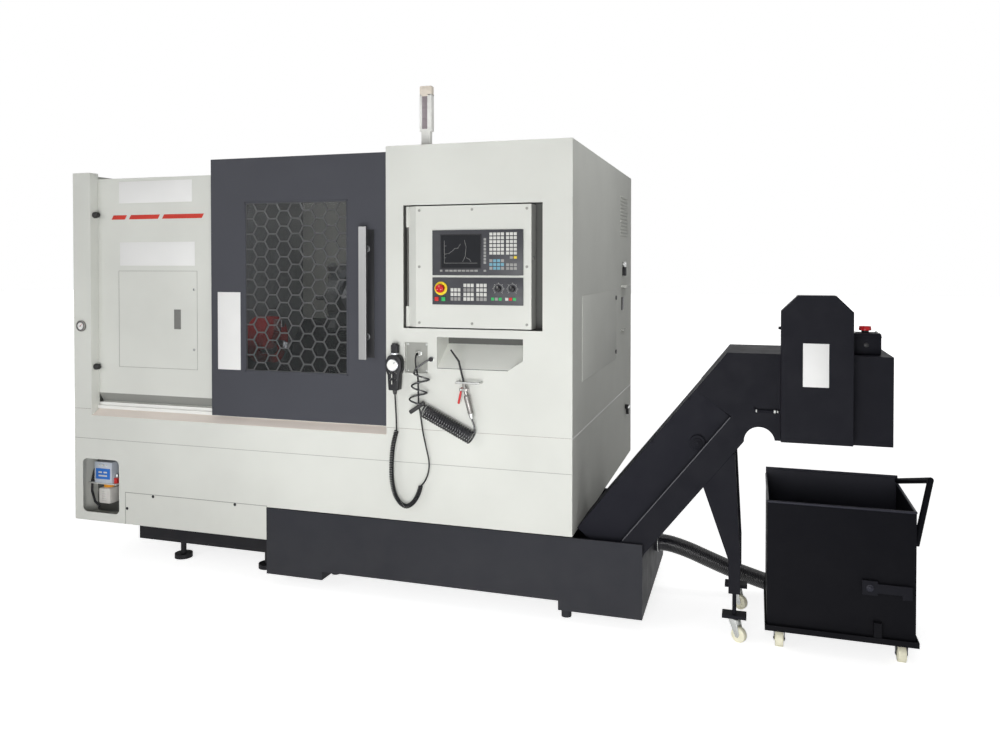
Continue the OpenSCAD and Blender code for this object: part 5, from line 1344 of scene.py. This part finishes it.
class LATHE_OT_stage(bpy.types.Operator):
    """Sets the floor, lights and camera"""

    bl_idname = "lathe.stage"
    bl_label = "Stage"

    def execute(self, context):
        self.camera(context.scene)
        self.floor()
        self.lights()
        context.scene.view_settings.view_transform = "Standard"
        return {"FINISHED"}

    def camera(self, scene):
        """Camera of the photo."""
        v = scene.lathe_view
        data = bpy.data.cameras.new("photo_camera")
        data.sensor_width = 36.0
        data.lens = v.focal
        data.shift_y = v.shift
        data.clip_end = 100.0
        cam = bpy.data.objects.new("photo_camera", data)
        cam.location = at(*CAMERA_AT)
        cam.rotation_euler = (math.pi / 2 - v.pitch, 0.0, v.yaw)
        scene.collection.objects.link(cam)
        scene.camera = cam

    def floor(self):
        """White floor whose glow rises away from the machine."""
        f = Finish("floor_white", Roughness=0.6)
        f.link(f.mix(f.between(f.noise(1.5), 0.0, 1.0), (0.86, 0.86, 0.86), (0.9, 0.9, 0.9)), "Base Color")
        reach = f.add("ShaderNodeVectorMath")
        reach.operation = "LENGTH"
        f.tree.links.new(f.coords, reach.inputs[0])
        glow = f.add("ShaderNodeMath", Value=f.between(reach.outputs["Value"], *FLOOR_GLOW))
        glow.operation = "MULTIPLY"
        f.tree.links.new(shown_rays(f.tree), glow.inputs[1])
        f.bsdf.inputs["Emission Color"].default_value = (1, 1, 1, 1)
        f.link(glow.outputs[0], "Emission Strength")
        bm = bmesh.new()
        bmesh.ops.create_grid(bm, x_segments=1, y_segments=1, size=40.0)
        mesh = bpy.data.meshes.new("floor")
        bm.to_mesh(mesh)
        bm.free()
        mesh.materials.append(f.mat)
        floor = bpy.data.objects.new("floor", mesh)
        bpy.context.scene.collection.objects.link(floor)

    def lights(self):
        """World and round lights."""
        scene = bpy.context.scene
        world = bpy.data.worlds.new("studio")
        scene.world = world
        world.use_nodes = True
        tree = world.node_tree
        back = tree.nodes["Background"]
        level = tree.nodes.new("ShaderNodeMapRange")
        tree.links.new(shown_rays(tree), level.inputs["Value"])
        level.inputs["To Min"].default_value = WORLD_DULL
        level.inputs["To Max"].default_value = WORLD_SEEN
        tree.links.new(level.outputs[0], back.inputs["Strength"])
        back.inputs["Color"].default_value = (1, 1, 1, 1)
        for light in LIGHTS:
            self.area(*light)

    def area(self, name, place, target, size, power):
        """Round light that looks at a target; size is in metres."""
        data = bpy.data.lights.new(name, "AREA")
        data.shape = "DISK"
        data.size = size
        data.energy = power
        lamp = bpy.data.objects.new(name, data)
        lamp.location = at(*place)
        way = at(*target) - at(*place)
        lamp.rotation_euler = way.to_track_quat("-Z", "Y").to_euler()
        bpy.context.scene.collection.objects.link(lamp)


# Sidebar panel and registration

STEPS = ("cords", "stage", "covers", "door", "panel", "fittings", "conveyor", "cart", "insides")


class LATHE_PT_looks(bpy.types.Panel):
    """Lists the lathe's pieces and the values a user would change"""

    bl_label = "Turning Lathe"
    bl_idname = "LATHE_PT_looks"
    bl_space_type = "VIEW_3D"
    bl_region_type = "UI"
    bl_category = "Lathe"

    def draw(self, context):
        for step in STEPS:
            self.layout.operator("lathe." + step)
        for group in (context.scene.lathe_colours, context.scene.lathe_trim, context.scene.lathe_view):
            for key in group.__annotations__:
                self.layout.prop(group, key)


CLASSES = (
    LatheColours, LatheTrim, LatheView, LATHE_OT_cords, LATHE_OT_stage, LATHE_OT_covers, LATHE_OT_door,
    LATHE_OT_panel, LATHE_OT_fittings, LATHE_OT_conveyor, LATHE_OT_cart, LATHE_OT_insides, LATHE_PT_looks,
)


def register():
    """Adds the classes and the scene's values."""
    for cls in CLASSES:
        bpy.utils.register_class(cls)
    bpy.types.Scene.lathe_colours = PointerProperty(type=LatheColours)
    bpy.types.Scene.lathe_trim = PointerProperty(type=LatheTrim)
    bpy.types.Scene.lathe_view = PointerProperty(type=LatheView)


def unregister():
    """Takes the values and classes away again."""
    for key in ("lathe_colours", "lathe_trim", "lathe_view"):
        delattr(bpy.types.Scene, key)
    for cls in reversed(CLASSES):
        bpy.utils.unregister_class(cls)


def main():
    register()
    make_finishes(colours())
    for step in STEPS:
        getattr(bpy.ops.lathe, step)()


if __name__ == "__main__":
    main()
